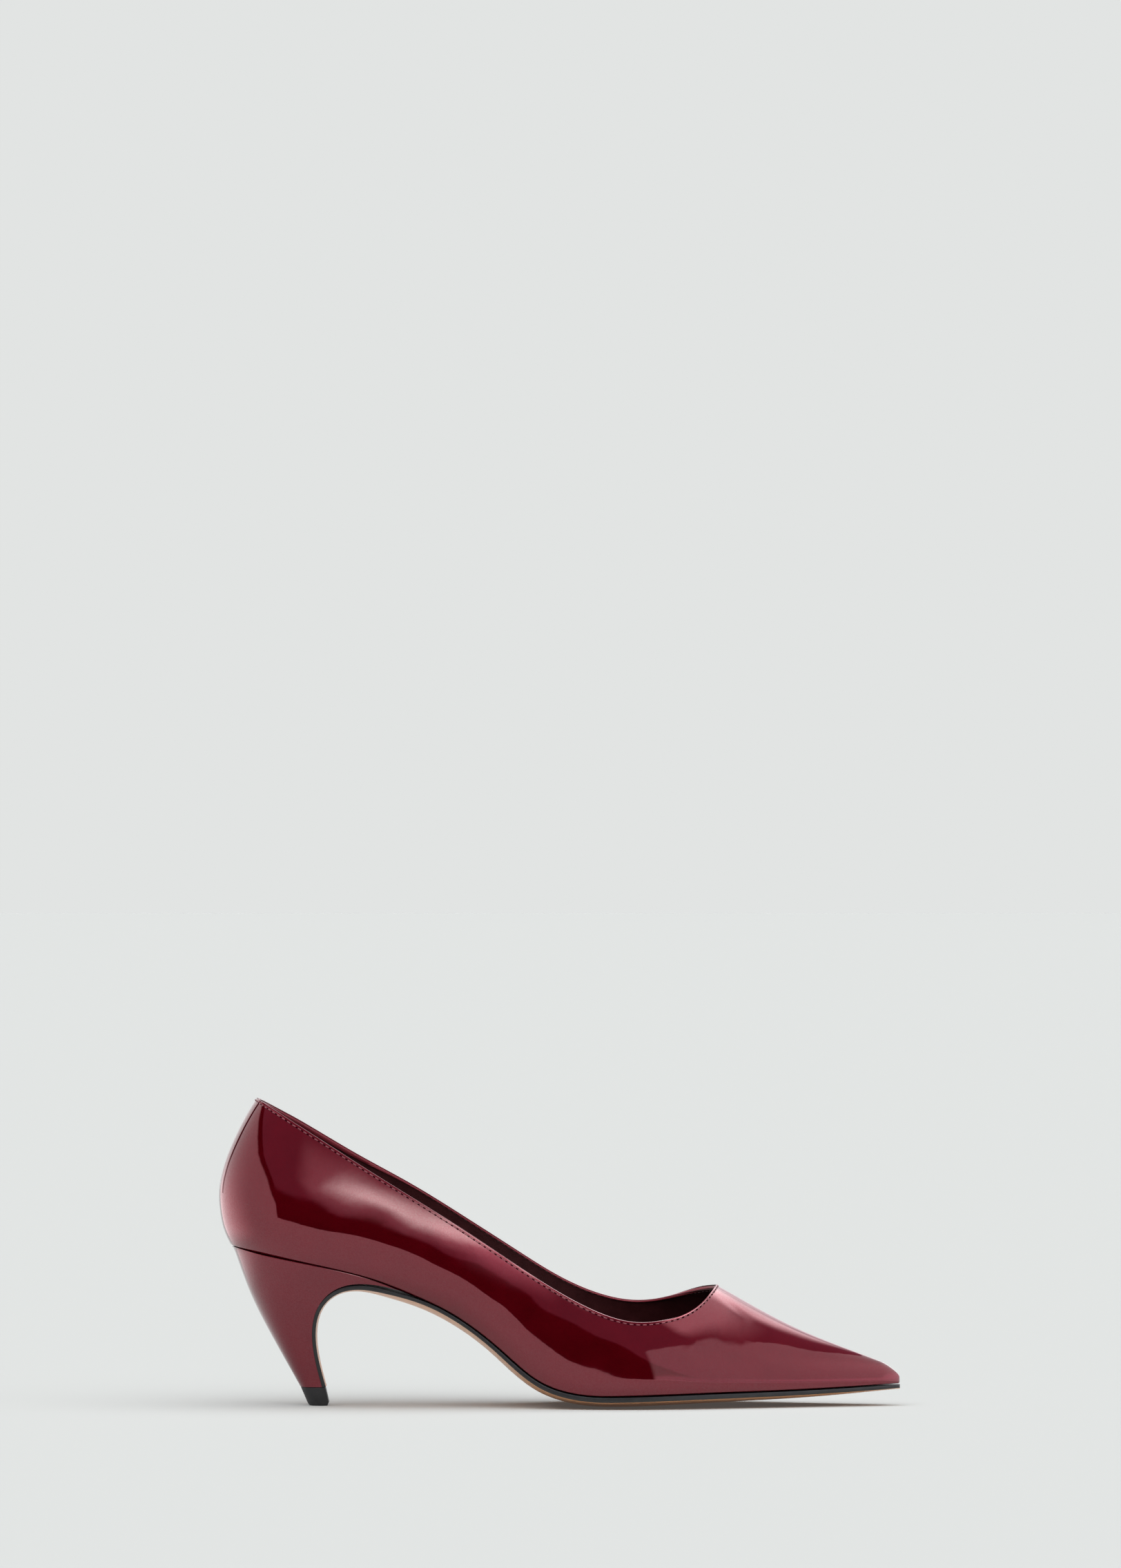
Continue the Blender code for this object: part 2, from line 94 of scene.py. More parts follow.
# Mesh steps
HEEL_STEPS, QUARTER_STEPS, THROAT_STEPS, VAMP_STEPS = 44, 110, 48, 70
FINE_STEPS = 160  # points of a column before its rows are spaced out
RIM_BAND = np.array([0.0, 0.4, 0.8, 1.2, 1.6, 2.0, 2.6, 3.4, 4.4, 5.8])  # rows under the rim
FOOT_BAND = np.array([0.0, 0.25, 0.5, 0.8, 1.2, 1.8, 2.6])  # rows over the sole
MIDDLE_ROWS = 42
BAND_LENGTH = 30.0  # a shorter column has narrower bands
SOLE_STEPS, SOLE_ACROSS = 300, 36
HEEL_RINGS, HEEL_SIDE_STEPS = 90, 16
SETTLE_ROUNDS = 40
TANGENT_STEP = 0.05
SHARP_EDGE_DEG = 40
BACK_CROWDING = 1.6  # over 1 crowds the columns towards the middle of the back
TIP_CROWDING = 1.5
TOE_CROWDING = 0.35
SEAT_CROWDING = 1.3

# Relief of the leather
TUCK, TUCK_HEIGHT = 0.25, 0.7  # turned in at the sole and at the heel's seat
SEAT_TUCK_FROM = 0.97
SEAM_DEPTH, SEAM_WIDTH = 0.18, 0.25  # groove of the seam down the middle of the back
SHOULDER, SHOULDER_Y, SHOULDER_WIDTH = 0.05, 0.8, 0.4
SEAM_FADE = 10.0
Crease = namedtuple("Crease", "start end depth width")
CREASES = (
    Crease((60.0, 42.0), (72.0, 32.0), 0.16, 1.3),
    Crease((-90.0, 91.0), (-52.0, 71.0), -0.08, 5.0),
)
SIDE_BLEND = 8.0  # width of the middle in which the waves of the two sides blend
Wave = namedtuple("Wave", "length heading height shift")
LASTING = (
    Wave(31.0, 0.4, 0.028, 0.0),
    Wave(19.0, -0.9, 0.016, 0.31),
    Wave(13.0, 1.3, 0.008, 0.17),
)

# Turned edge of the opening
BINDING_PROUD = 0.10  # how far it stands off both faces
BINDING_LIFT = 0.10  # and over the edge
BINDING_ROUND = 0.75  # height of its rounded top
BINDING_OUT, BINDING_IN = 0.62, 0.95  # how far down it reaches outside and inside
BINDING_IN_BEHIND, BEHIND_FROM, BEHIND_TO = 2.1, -48.0, -88.0  # and inside round the heel
BINDING_ARC = 13
FOOT_PROUD, FOOT_DEPTH = 0.6, 0.9  # shares of its stand-off and reach where its feet turn in

# Stitches under the turned edge
STITCH_PITCH, STITCH_DROP = 2.45, 0.95
THREAD_RADIUS, THREAD_LIFT, THREAD_SINK = 0.19, 0.12, 0.06
THREAD_STEPS, THREAD_SIDES = 6, 6
HOLE_SHARE = 0.23  # share of the pitch that a needle hole takes at each end
# Needle holes are dark pieces sunk into the leather, coloured as painted shade
HOLE_RADIUS, HOLE_LONG, HOLE_SINK, HOLE_POINTS = 0.40, 0.46, 0.28, 3

# Edges of the sock, the sole and the heel tip
SOCK_PAD, SOCK_FLATNESS, SOCK_ACROSS = 0.5, 10, 24
EDGE_ROUND, EDGE_STEPS, EDGE_FLATNESS = 0.15, 6, 4
TIP_EDGE, TIP_EDGE_STEPS = 0.3, 4

# Colours, linear
PATENT, PATENT_LIGHT = (0.053, 0.0002, 0.0020), (0.066, 0.0003, 0.0027)
TURNED, TURNED_LIGHT = (0.115, 0.010, 0.016), (0.15, 0.018, 0.026)
LINING_DARK, LINING_LIGHT = (0.029, 0.0045, 0.0054), (0.044, 0.0080, 0.0094)
SOCK_DARK, SOCK_LIGHT = (0.009, 0.0042, 0.0045), (0.015, 0.0075, 0.0078)
TAN, TAN_DARK = (0.85, 0.43, 0.20), (0.68, 0.31, 0.13)
BLACK, BLACK_WORN = (0.011, 0.011, 0.012), (0.018, 0.018, 0.019)
THREAD, THREAD_LIGHT = (0.14, 0.022, 0.034), (0.24, 0.065, 0.08)
LINING_THREAD = (0.06, 0.022, 0.022)
# Needle holes: painted shade, a dark colour where the holes are
HOLE_SHADE, HOLE_SHADE_PALE = (0.017, 0.0010, 0.0030), (0.024, 0.0015, 0.0042)
FLOOR, FLOOR_GLOW = (0.440, 0.447, 0.444), (0.050, 0.051, 0.051)
BACKDROP = (0.760, 0.776, 0.768)
STUDIO_WHITE = (0.990, 1.0, 0.995)

# Finishes. Sizes and depths are millimetres
PATENT_GLOSS, TURNED_GLOSS = 0.02, 0.3  # roughness of the film
PATENT_BLUR = 0.025  # how much rougher the leather under it is
PATENT_IOR, FILM_IOR = 1.72, 1.5
PATENT_TINT = (1.0, 0.19, 0.26)
FILM_SIZE, FILM_DETAIL, FILM_LEAST = 0.5, 2.0, 0.2
LINING_ROUGH, SOCK_ROUGH, SOFT_SPECULAR = 0.5, 0.55, 0.3
CELL_SIZE, CELL_DEPTH, CELL_STRENGTH = 0.7, 0.05, 0.6
TAN_ROUGH, POLISH, POLISH_ROUGH = 0.36, 0.15, 0.2
PAINT_ROUGH, RUBBER_ROUGH = 0.38, 0.55
THREAD_ROUGH, THREAD_SHEEN, HOLE_ROUGH, FLOOR_ROUGH = 0.55, 0.2, 0.9, 0.9
Mottle = namedtuple("Mottle", "size detail low high stretch", defaults=((1, 1, 1),))
PATENT_CLOUD = Mottle(9.0, 2.0, 0.3, 0.7)
SOFT_CLOUD = Mottle(4.0, 3.0, 0.35, 0.7)
TAN_STREAK = Mottle(2.2, 4.0, 0.3, 0.75, (0.12, 1, 1))
BLACK_WEAR = Mottle(3.0, 3.0, 0.3, 0.7)
THREAD_TWIST = Mottle(0.3, 1.0, 0.35, 0.65)
# Mottle of the painted shade in the needle holes
HOLE_SHADE_MOTTLE = Mottle(0.2, 1.0, 0.35, 0.65)
Grain = namedtuple("Grain", "size detail depth strength")
PATENT_SWELL = Grain(5.0, 1.0, 0.012, 1.0)
PATENT_GRAIN = Grain(0.35, 2.0, 0.0008, 1.0)
TAN_GRAIN = Grain(0.5, 3.0, 0.02, 0.5)
PAINT_GRAIN = Grain(0.6, 3.0, 0.02, 0.6)
RUBBER_GRAIN = Grain(0.6, 3.0, 0.04, 0.6)

# Studio. Headings and heights in degrees: heading 0 is towards the camera, 90 towards the toe
AMBIENT = 0.004
FILL, FILL_FROM, FILL_FULL = 0.13, 10.3, 11.5  # dim red light over the dark front
FILL_COLOUR = (1.95, 0.95, 1.4)
FILL_GAP = 0.06  # dark strip between it and the top of the heel card
OVERHEAD, OVERHEAD_FROM, OVERHEAD_FULL = 3.5, 61.0, 70.0
Card = namedtuple("Card", "start end facing slope soft radiance")  # slope of its top edge
HEEL_CARD = Card(-136, -33, -110, 0.53, 0.012, 0.77)
BACK_CARD = Card(150, 217, 185, 0.60, 0.02, 0.95)

# Lamps that show in the gloss alone, in metres and degrees
Edge = namedtuple("Edge", "x y z dark lit")  # along x y z it goes from none at dark to full at lit
Lamp = namedtuple("Lamp", "name place turn size radiance colour edges spread", defaults=(180.0,))
TOE_CARD = (0, 90, 0), (0.133, 0.80)
TOE_CARD_COLOUR = (0.72, 0.98, 0.93)
SOFT_BOX = (90, 0, 0), (0.26, 0.15)
SOFT_BOX_COLOUR, SOFT_BOX_SPREAD = (0.48, 1.0, 0.85), 150.0
BOX_TOE_END = Edge(1, 0, -0.6, -0.060, -0.085)
HEEL_GLOW_COLOUR, WAIST_GLOW_COLOUR = (1.0, 0.78, 0.80), (1.4, 1.0, 1.15)
LAMPS = (
    Lamp("toe_card", (0.172, -0.10, 0.0755), *TOE_CARD, 0.53, TOE_CARD_COLOUR, (
        Edge(0, 1, 0, -0.16, -0.10), Edge(0, -0.4, 1, 0.168, 0.164),
    )),
    Lamp("side_card", (0.174, -0.10, 0.0755), *TOE_CARD, 0.53, TOE_CARD_COLOUR, (
        Edge(0, 1, 0, -0.50, -0.40), Edge(0, 1, 0, -0.10, -0.16), Edge(0, 0.074, 1, 0.1105, 0.1075),
    )),
    Lamp("card_foot", (0.176, -0.10, 0.0755), *TOE_CARD, 0.15, FILL_COLOUR, (
        Edge(0, 1, 0, -0.50, -0.40), Edge(0, 0, 1, 0.056, 0.036),
    )),
    Lamp("toe_shine", (0.178, -0.10, 0.0755), *TOE_CARD, 0.26, STUDIO_WHITE, (
        Edge(0, 1, 0, -0.12, 0.0), Edge(0, 0, 1, 0.140, 0.10),
    )),
    Lamp("soft_box", (-0.10, -0.200, 0.145), *SOFT_BOX, 2.5, SOFT_BOX_COLOUR, (
        Edge(1, 0, -0.6, -0.152, -0.124), BOX_TOE_END,
        Edge(0.3, 0, 1, 0.096, 0.114), Edge(0.3, 0, 1, 0.160, 0.114),
    ), SOFT_BOX_SPREAD),
    Lamp("soft_glow", (-0.10, -0.202, 0.145), *SOFT_BOX, 0.32, STUDIO_WHITE, (
        Edge(1, 0, -0.6, -0.222, -0.134), BOX_TOE_END,
        Edge(0.3, 0, 1, 0.084, 0.104), Edge(0.3, 0, 1, 0.190, 0.130),
    ), SOFT_BOX_SPREAD),
    Lamp("waist_glow", (-0.027, -0.087, 0.070), (90, 0, 0), (0.030, 0.05), 0.55, WAIST_GLOW_COLOUR, (
        Edge(1, 0, 0, -0.0415, -0.035), Edge(1, 0, 0, -0.012, -0.027),
        Edge(0, 0, 1, 0.052, 0.076), Edge(0, 0, 1, 0.094, 0.080),
    )),
    Lamp("vamp_panel", (0.10, 0.045, 0.12), (0, 0, 0), (0.13, 0.33), 0.80, STUDIO_WHITE, (
        Edge(1, 0.22, 0, 0.143, 0.122), Edge(0, 1, 0, -0.118, -0.085),
    )),
    Lamp("ridge_shine", (0.10, 0.11, 0.122), (0, 0, 0), (0.13, 0.20), 1.65, STUDIO_WHITE, (
        Edge(1, -0.15, 0, 0.144, 0.124), Edge(0, 1, 0, 0.012, 0.052), Edge(0, 1, 0, 0.18, 0.08),
    )),
    Lamp("heel_glow", (-0.20, 0.02, 0.07), (0, -90, 0), (0.14, 0.24), 0.8, HEEL_GLOW_COLOUR, (
        Edge(0, 1, 0, -0.06, 0.04), Edge(0, 0, 1, 0.135, 0.06), Edge(0, 0, 1, 0.0, 0.045),
    )),
)
LAMP_POWER = 4  # watts for a square metre and a unit of radiance
SKY, SKY_ANGLE, SKY_TILT = 5.35, 105.0, 16.0  # soft light from above on everything that isn't glossy

# Stage in metres, lens in millimetres
FLOOR_REACH = 40.0
FLOOR_GAP = 0.00005
CAMERA_AT = (0.0, -3.997, 0.2036)
CAMERA_AIM = (0.0004, 0.0, 0.2337)
LENS, SENSOR = 243.8, 36.0

Section = namedtuple("Section", "x foot_lat foot_med belly_lat belly_med rise crown fullness")
LAST = (
    Section(-124, 23.6, 23.6, 27.8, 27.8, 19, 149.0, 1.95),
    Section(-100, 24.4, 24.4, 28.6, 28.6, 19, 138.0, 1.95),
    Section(-80, 23.4, 22.6, 28.2, 27.8, 20, 128.0, 2.00),
    Section(-60, 21.2, 18.6, 27.4, 26.2, 21, 117.0, 2.10),
    Section(-40, 21.0, 16.6, 27.4, 25.4, 21, 105.5, 2.20),
    Section(-20, 26.0, 20.0, 30.0, 27.2, 23, 93.0, 2.60),
    Section(0, 32.6, 28.0, 34.8, 32.0, 16, 80.0, 2.85),
    Section(20, 36.2, 34.6, 37.8, 36.8, 8, 66.8, 2.75),
    Section(40, 34.6, 36.2, 36.4, 37.8, 8, 54.8, 2.15),
    Section(59, 28.8, 32.2, 30.6, 33.8, 7, 45.2, 1.65),
    Section(80, 21.2, 24.2, 22.8, 25.8, 6, 33.6, 1.55),
    Section(100, 13.6, 15.2, 14.8, 16.4, 5, 24.4, 1.55),
    Section(116, 7.6, 8.2, 8.4, 9.0, 4, 18.4, 1.55),
    Section(128, 3.2, 3.2, 3.6, 3.6, 3, 13.6, 1.60),
)

Point = namedtuple("Point", "x z")
SOLE_LINE = (
    Point(-124, 60.3),
    Point(-112, 57.5),
    Point(-100, 55.1),
    Point(-85, 51.9),
    Point(-70, 47.9),
    Point(-55, 42.0),
    Point(-42, 36.0),
    Point(-31, 28.9),
    Point(-20, 19.9),
    Point(-10, 11.6),
    Point(0, 7.0),
    Point(10, 5.1),
    Point(22, 4.8),
    Point(40, 5.3),
    Point(65, 5.9),
    Point(90, 6.5),
    Point(110, 7.3),
    Point(128, 8.2),
)

RimPoint = namedtuple("RimPoint", "x lat med")
TOPLINE = (
    RimPoint(-113.8, 115.6, 115.6),
    RimPoint(-96, 104.6, 105.4),
    RimPoint(-76, 91.8, 93.6),
    RimPoint(-56, 79.3, 82.6),
    RimPoint(-36, 66.8, 70.3),
    RimPoint(-16, 53.6, 57.4),
    RimPoint(0, 43.6, 47.5),
    RimPoint(14, 36.5, 41.2),
    RimPoint(RIM_LOW_X, 32.6, 38.3),
    RimPoint(39, 33.2, 39.4),
    RimPoint(47, 35.4, 42.0),
    RimPoint(54, 39.9, 44.3),
    RimPoint(THROAT_X, 45.2, 45.2),
)

BackPoint = namedtuple("BackPoint", "z x")
UPPER_BACK = (
    BackPoint(58, -122.2),
    BackPoint(62, -124.4),
    BackPoint(66, -126.1),
    BackPoint(72, -127.5),
    BackPoint(80, -128.0),
    BackPoint(88, -126.8),
    BackPoint(96, -124.2),
    BackPoint(104, -120.6),
    BackPoint(112, -116.2),
    BackPoint(120, -110.8),
)
HEEL_BACK = (
    BackPoint(HEEL_FLOOR, -97.4),
    BackPoint(24, -107.0),
    BackPoint(42, -116.3),
    BackPoint(59.5, -123.1),
)

BREAST = (
    Point(-89.0, 7.4),
    Point(-91.4, 17.0),
    Point(-92.5, 27.5),
    Point(-90.3, 37.0),
    Point(-84.3, 43.2),
    Point(-75.5, 45.4),
    Point(-66.5, 44.3),
    Point(-58.5, 42.4),
)
SHANK_JOIN_X = -50.0
SHANK_STEP = 8.9

Gauge = namedtuple("Gauge", "run edge camber")
SOLE_THICKNESS = (
    Gauge(0, 1.1, 0.3),
    Gauge(30, 1.1, 0.5),
    Gauge(45, 1.2, 1.1),
    Gauge(65, 1.3, 2.2),
    Gauge(100, 1.4, 2.2),
    Gauge(135, 1.7, 2.7),
    Gauge(160, 1.8, 3.05),
    Gauge(200, 1.7, 2.3),
    Gauge(235, 1.5, 1.4),
    Gauge(263, 1.3, 0.3),
)

TipRing = namedtuple("TipRing", "z back front half")
TOP_PIECE = (
    TipRing(0.0, -94.1, -87.3, 4.7),
    TipRing(TIP_BEVEL_Z, -94.8, -86.7, 5.1),
    TipRing(HEEL_FLOOR - TIP_SEAM, -97.3, -88.0, 5.5),
)

Layer = namedtuple("Layer", "inset tip")
FACE = Layer(0.0, TOE_X)
LINING = Layer(WALL, TOE_X - TOE_FILL)
INSOLE_EDGE = Layer(WALL + GAP, INSOLE_TIP_X)


def spline(knots, values):
    """A curve of one variable with continuous bend, run out straight past both ends."""
    x = np.array(knots, float)
    y = np.array(values, float)
    step = np.diff(x)
    rise = np.diff(y) / step
    matrix = np.eye(len(x))
    right = np.zeros(len(x))
    for i in range(1, len(x) - 1):
        matrix[i, i - 1 : i + 2] = step[i - 1], 2 * (step[i - 1] + step[i]), step[i]
        right[i] = 6 * (rise[i] - rise[i - 1])
    bend = np.linalg.solve(matrix, right)
    first_slope = rise[0] - step[0] * bend[1] / 6
    last_slope = rise[-1] + step[-1] * bend[-2] / 6

    def at(value):
        value = np.asarray(value, float)
        inside = np.clip(value, x[0], x[-1])
        i = np.clip(np.searchsorted(x, inside, "right") - 1, 0, len(x) - 2)
        b = (inside - x[i]) / step[i]
        a = 1 - b
        sag = (a**3 - a) * bend[i] + (b**3 - b) * bend[i + 1]
        curve = a * y[i] + b * y[i + 1] + sag * step[i] ** 2 / 6
        before, after = np.minimum(value - x[0], 0), np.maximum(value - x[-1], 0)
        return curve + first_slope * before + last_slope * after

    return at


def column(table, key, value):
    """The curve of one named column of a table over another."""
    return spline([getattr(row, key) for row in table], [getattr(row, value) for row in table])


sole_line = column(SOLE_LINE, "x", "z")
upper_back = column(UPPER_BACK, "z", "x")
heel_back = column(HEEL_BACK, "z", "x")
crown = column(LAST, "x", "crown")
fullness = column(LAST, "x", "fullness")
belly_rise = column(LAST, "x", "rise")
foot = {LATERAL: column(LAST, "x", "foot_lat"), MEDIAL: column(LAST, "x", "foot_med")}
belly = {LATERAL: column(LAST, "x", "belly_lat"), MEDIAL: column(LAST, "x", "belly_med")}
rim = {LATERAL: column(TOPLINE, "x", "lat"), MEDIAL: column(TOPLINE, "x", "med")}
sole_edge = column(SOLE_THICKNESS, "run", "edge")
sole_camber = column(SOLE_THICKNESS, "run", "camber")


def clamp(value):
    return np.clip(value, 0.0, 1.0)


def mix(a, b, share):
    return a + (b - a) * share


def ease(value, start, end):
    """0 before start, 1 after end, smooth between."""
    t = clamp((value - start) / (end - start))
    return t * t * (3 - 2 * t)


def nose(x, tip):
    """Scale of a section near the toe: 1 behind the nose and 0 at its tip."""
    ahead = clamp((x - tip + NOSE_LENGTH) / NOSE_LENGTH)
    return np.sqrt(1 - ahead**2)


def ridge(x, layer):
    """Height at which the section closes."""
    return NOSE_Z + (crown(x) - layer.inset - NOSE_Z) * nose(x, layer.tip)


def heel_closing(share):
    """Half width round the heel, from 1 at its sides to 0 at its back."""
    return np.sqrt(1 - clamp(share) ** HEEL_ROUNDING)


def heel_x(z, share, layer):
    """Place along the shoe of a point round the heel."""
    return mix(HEEL_CENTRE_X, upper_back(z) + layer.inset, share)


def half_width(x, z, side, layer):
    """Half width of the last at a place in side view."""
    above = z - sole_line(x)
    swell = 1 - (1 - clamp(above / belly_rise(x))) ** BELLY_EASE
    wide = mix(foot[side](x), belly[side](x), swell) - layer.inset
    share = clamp(above / (ridge(x, layer) - sole_line(x)))
    wide = wide * np.sqrt(1 - share ** fullness(x)) * nose(x, layer.tip)
    round_length = np.maximum(HEEL_CENTRE_X - upper_back(z) - layer.inset, LEAST)
    return wide * heel_closing(np.maximum(HEEL_CENTRE_X - x, 0) / round_length)


def rim_height(x, side, layer):
    """Edge of the opening: both sides meet at the back, and the lining meets its ridge in front."""
    middle = (rim[LATERAL](x) + rim[MEDIAL](x)) / 2
    height = mix(middle, rim[side](x), ease(x, RIM_TOGETHER_X, RIM_APART_X))
    return height - layer.inset * ease(x, RIM_TURN_X, THROAT_X)


def settle(height, share, layer):
    """The point round the heel, at a share of the way to the back, that lies on a height curve."""
    z = height(HEEL_CENTRE_X)
    for _ in range(SETTLE_ROUNDS):
        x = heel_x(z, share, layer)
        z = height(x)
    return float(x), float(z)


def add_object(name, data):
    made = bpy.data.objects.new(name, data)
    bpy.context.scene.collection.objects.link(made)
    return made


class Solid:
    """Faces between points, where points that coincide are one vertex."""

    def __init__(self):
        self.corners = {}
        self.faces = []
        self.slots = []

    def face(self, slot, *points):
        loop = []
        for point in points:
            key = tuple(round(float(c), WELD_DIGITS) for c in point)
            index = self.corners.setdefault(key, len(self.corners))
            if index not in loop:
                loop.append(index)
        if len(loop) > 2:
            self.faces.append(loop)
            self.slots.append(slot)

    def strip(self, first, second, slot=0):
        for a, b, c, d in zip(first, first[1:], second[1:], second):
            self.face(slot, a, b, c, d)

    def sheet(self, rows, slot=0):
        for first, second in zip(rows, rows[1:]):
            self.strip(first, second, slot)

    def make(self, name, *materials):
        """The Blender object, faces outward, with its materials."""
        mesh = bpy.data.meshes.new(name)
        corners = np.array(list(self.corners)) * MM
        mesh.from_pydata(corners.tolist(), [], self.faces)
        for material in materials:
            mesh.materials.append(material)
        mesh.polygons.foreach_set("material_index", self.slots)
        face_outward(mesh)
        mesh.shade_smooth()
        mesh.set_sharp_from_angle(angle=math.radians(SHARP_EDGE_DEG))
        return add_object(name, mesh)


def face_outward(mesh):
    shape = bmesh.new()
    shape.from_mesh(mesh)
    bmesh.ops.recalc_face_normals(shape, faces=shape.faces)
    shape.to_mesh(mesh)
    shape.free()


def steps(count):
    """Even shares from 0 to 1."""
    return np.linspace(0, 1, count + 1)


def round_steps(count):
    """Shares from 1 to 0 round a curve that closes like an ellipse, crowded towards its end."""
    return np.cos(steps(count) ** BACK_CROWDING * math.pi / 2)


# A column of the wall in side view, with its share of the way round the heel if it is there
Column = namedtuple("Column", "foot top heel_share on_ridge at_tip")
RIM_COLUMNS = HEEL_STEPS + QUARTER_STEPS + THROAT_STEPS + 1


def upper_columns(side, layer):
    """Columns of the wall, from the middle of the heel's back to the toe."""

    def top(x):
        return rim_height(x, side, layer)

    columns = []
    for share in round_steps(HEEL_STEPS):
        ends = settle(sole_line, share, layer), settle(top, share, layer)
        columns.append(Column(*ends, share, False, False))
    for share in steps(QUARTER_STEPS)[1:]:
        x = mix(HEEL_CENTRE_X, RIM_LOW_X, share)
        columns.append(Column((x, sole_line(x)), (x, top(x)), None, False, False))
    for share in steps(THROAT_STEPS)[1:-1]:
        foot_x = mix(RIM_LOW_X, THROAT_FOOT_X, share)
        top_x = mix(RIM_LOW_X, THROAT_X, math.sin(share * math.pi / 2))
        columns.append(Column((foot_x, sole_line(foot_x)), (top_x, top(top_x)), None, False, False))
    for share in steps(VAMP_STEPS):
        forward = math.sin(share * math.pi / 2)
        foot_x, top_x = mix(THROAT_FOOT_X, layer.tip, forward), mix(THROAT_X, layer.tip, forward)
        ends = (foot_x, sole_line(foot_x)), (top_x, ridge(top_x, layer))
        columns.append(Column(*ends, None, True, share == 1))
    return columns


def run_along(points):
    """Distances along a line of points."""
    return np.concatenate([[0], np.cumsum(np.linalg.norm(np.diff(points, axis=0), axis=1))])


def between(points, run, at):
    """Points at distances along a line."""
    return np.column_stack([np.interp(at, run, points[:, k]) for k in range(3)])


def spaced(points):
    """The same line with its rows crowded at the sole and at the rim."""
    run = run_along(points)
    scale = min(1, run[-1] / BAND_LENGTH)
    low, high = FOOT_BAND * scale, run[-1] - RIM_BAND[::-1] * scale
    rows = np.concatenate([low, np.linspace(low[-1], high[0], MIDDLE_ROWS + 2)[1:-1], high])
    return between(points, run, rows)


def reach(top, layer):
    """How high the top of a column is, as a share of the way from the sole to the ridge."""
    x, z = top
    return clamp((z - sole_line(x)) / (ridge(x, layer) - sole_line(x)))


def wall_column(side, layer, place):
    """Points of one column, from the sole up to the rim or the ridge."""
    open_share = half_width(*place.top, side, layer) / max(half_width(*place.foot, side, layer), LEAST)
    closed = 1.0 if place.on_ridge else clamp(1 - open_share)
    share = steps(FINE_STEPS)
    if place.heel_share is None:
        x = mix(place.foot[0], place.top[0], share)
        up = reach(place.top, layer) * mix(share, np.sin(share * math.pi / 2), closed)
        z = mix(sole_line(x), ridge(x, layer), up)
    else:
        z = mix(place.foot[1], place.top[1], share)
        x = heel_x(z, place.heel_share, layer)
    y = side * half_width(x, z, side, layer)
    if place.heel_share == 1 or place.at_tip:
        y = np.zeros_like(x)
    if place.on_ridge:
        y[-1] = 0.0
    return spaced(np.column_stack([x, y, z]))


def upper_grid(side, layer):
    return [wall_column(side, layer, place) for place in upper_columns(side, layer)]


def bell(distance, width):
    return np.exp(-((distance / width) ** 2))


def along_segment(x, z, start, end):
    """Distance from a line in side view, and 1 along its middle falling to 0 at its ends."""
    step = np.subtract(end, start)
    length = np.hypot(*step)
    way_x, way_z = step / length
    ahead = (x - start[0]) * way_x + (z - start[1]) * way_z
    aside = (z - start[1]) * way_x - (x - start[0]) * way_z
    return aside, np.sin(clamp(ahead / length) * math.pi)


def relief(x, y, z):
    """How far the leather stands off the last: tucked in at the sole, seamed behind, creased."""
    over_sole = clamp((z - sole_line(x)) / TUCK_HEIGHT)
    height = -TUCK * (1 - over_sole) ** 2
    behind = 1 - ease(x, HEEL_CENTRE_X - SEAM_FADE, HEEL_CENTRE_X)
    height -= behind * SEAM_DEPTH * bell(y, SEAM_WIDTH)
    height += behind * SHOULDER * bell(np.abs(y) - SHOULDER_Y, SHOULDER_WIDTH)
    for crease in CREASES:
        aside, along = along_segment(x, z, crease.start, crease.end)
        height -= crease.depth * bell(aside, crease.width) * along
    side = np.tanh(y / SIDE_BLEND)
    for wave in LASTING:
        phase = (x * math.cos(wave.heading) + z * math.sin(wave.heading)) / wave.length
        height += wave.height * np.sin(2 * math.pi * (phase + side * wave.shift))
    return height


def emboss(made, slot):
    """Moves the vertices of one material along their normals by the relief."""
    mesh = made.data
    count = len(mesh.vertices)
    place, normal = np.zeros(count * 3), np.zeros(count * 3)
    mesh.vertices.foreach_get("co", place)
    mesh.vertices.foreach_get("normal", normal)
    place, normal = place.reshape(-1, 3), normal.reshape(-1, 3)
    moved = np.zeros(count)
    for polygon in mesh.polygons:
        if polygon.material_index == slot:
            moved[list(polygon.vertices)] = 1
    height = relief(*(place.T / MM)) * moved
    mesh.vertices.foreach_set("co", (place + normal * height[:, None] * MM).ravel())
    mesh.update()


def make_upper(grids, patent, lining):
    """One hollow shell: patent leather outside, lining inside and along its edges."""
    solid = Solid()
    for side in SIDES:
        face, inside = grids[side, FACE], grids[side, LINING]
        solid.sheet(face, 0)
        solid.sheet(inside, 1)
        solid.strip([points[0] for points in face], [points[0] for points in inside], 1)
        solid.strip(rim_points(face), rim_points(inside), 1)
    made = solid.make("upper_skin", patent, lining)
    emboss(made, 0)
    return made


def unit(vectors):
    return vectors / np.linalg.norm(vectors, axis=-1, keepdims=True)


def ringed(points):
    """A ring of points with its first one again at the end."""
    return np.vstack([points, points[:1]])


def rim_points(grid):
    """Upper ends of the columns that reach the opening."""
    return [points[-1] for points in grid[:RIM_COLUMNS]]


class Rim:
    """The closed edge of the opening: from the back along the lateral side and round the throat."""

    def __init__(self, grids):
        self.outer = self.loop(grids, FACE)
        self.inner = self.loop(grids, LINING)
        self.along = unit(np.roll(self.outer, -1, 0) - np.roll(self.outer, 1, 0))
        across = unit(self.outer - self.inner)
        self.down = unit(np.cross(self.along, across))
        self.across = np.cross(self.down, self.along)
        self.run = run_along(ringed(self.outer))

    @staticmethod
    def loop(grids, layer):
        return np.array(rim_points(grids[LATERAL, layer]) + rim_points(grids[MEDIAL, layer])[-2:0:-1])

    def at(self, values, run):
        """Values of the stations at distances along the loop."""
        return between(ringed(values), self.run, np.mod(run, self.run[-1]))


def close_loop(solid, rings):
    """A tube whose rings follow a closed line."""
    closed = [ringed(ring) for ring in rings]
    solid.sheet([*closed, closed[0]])


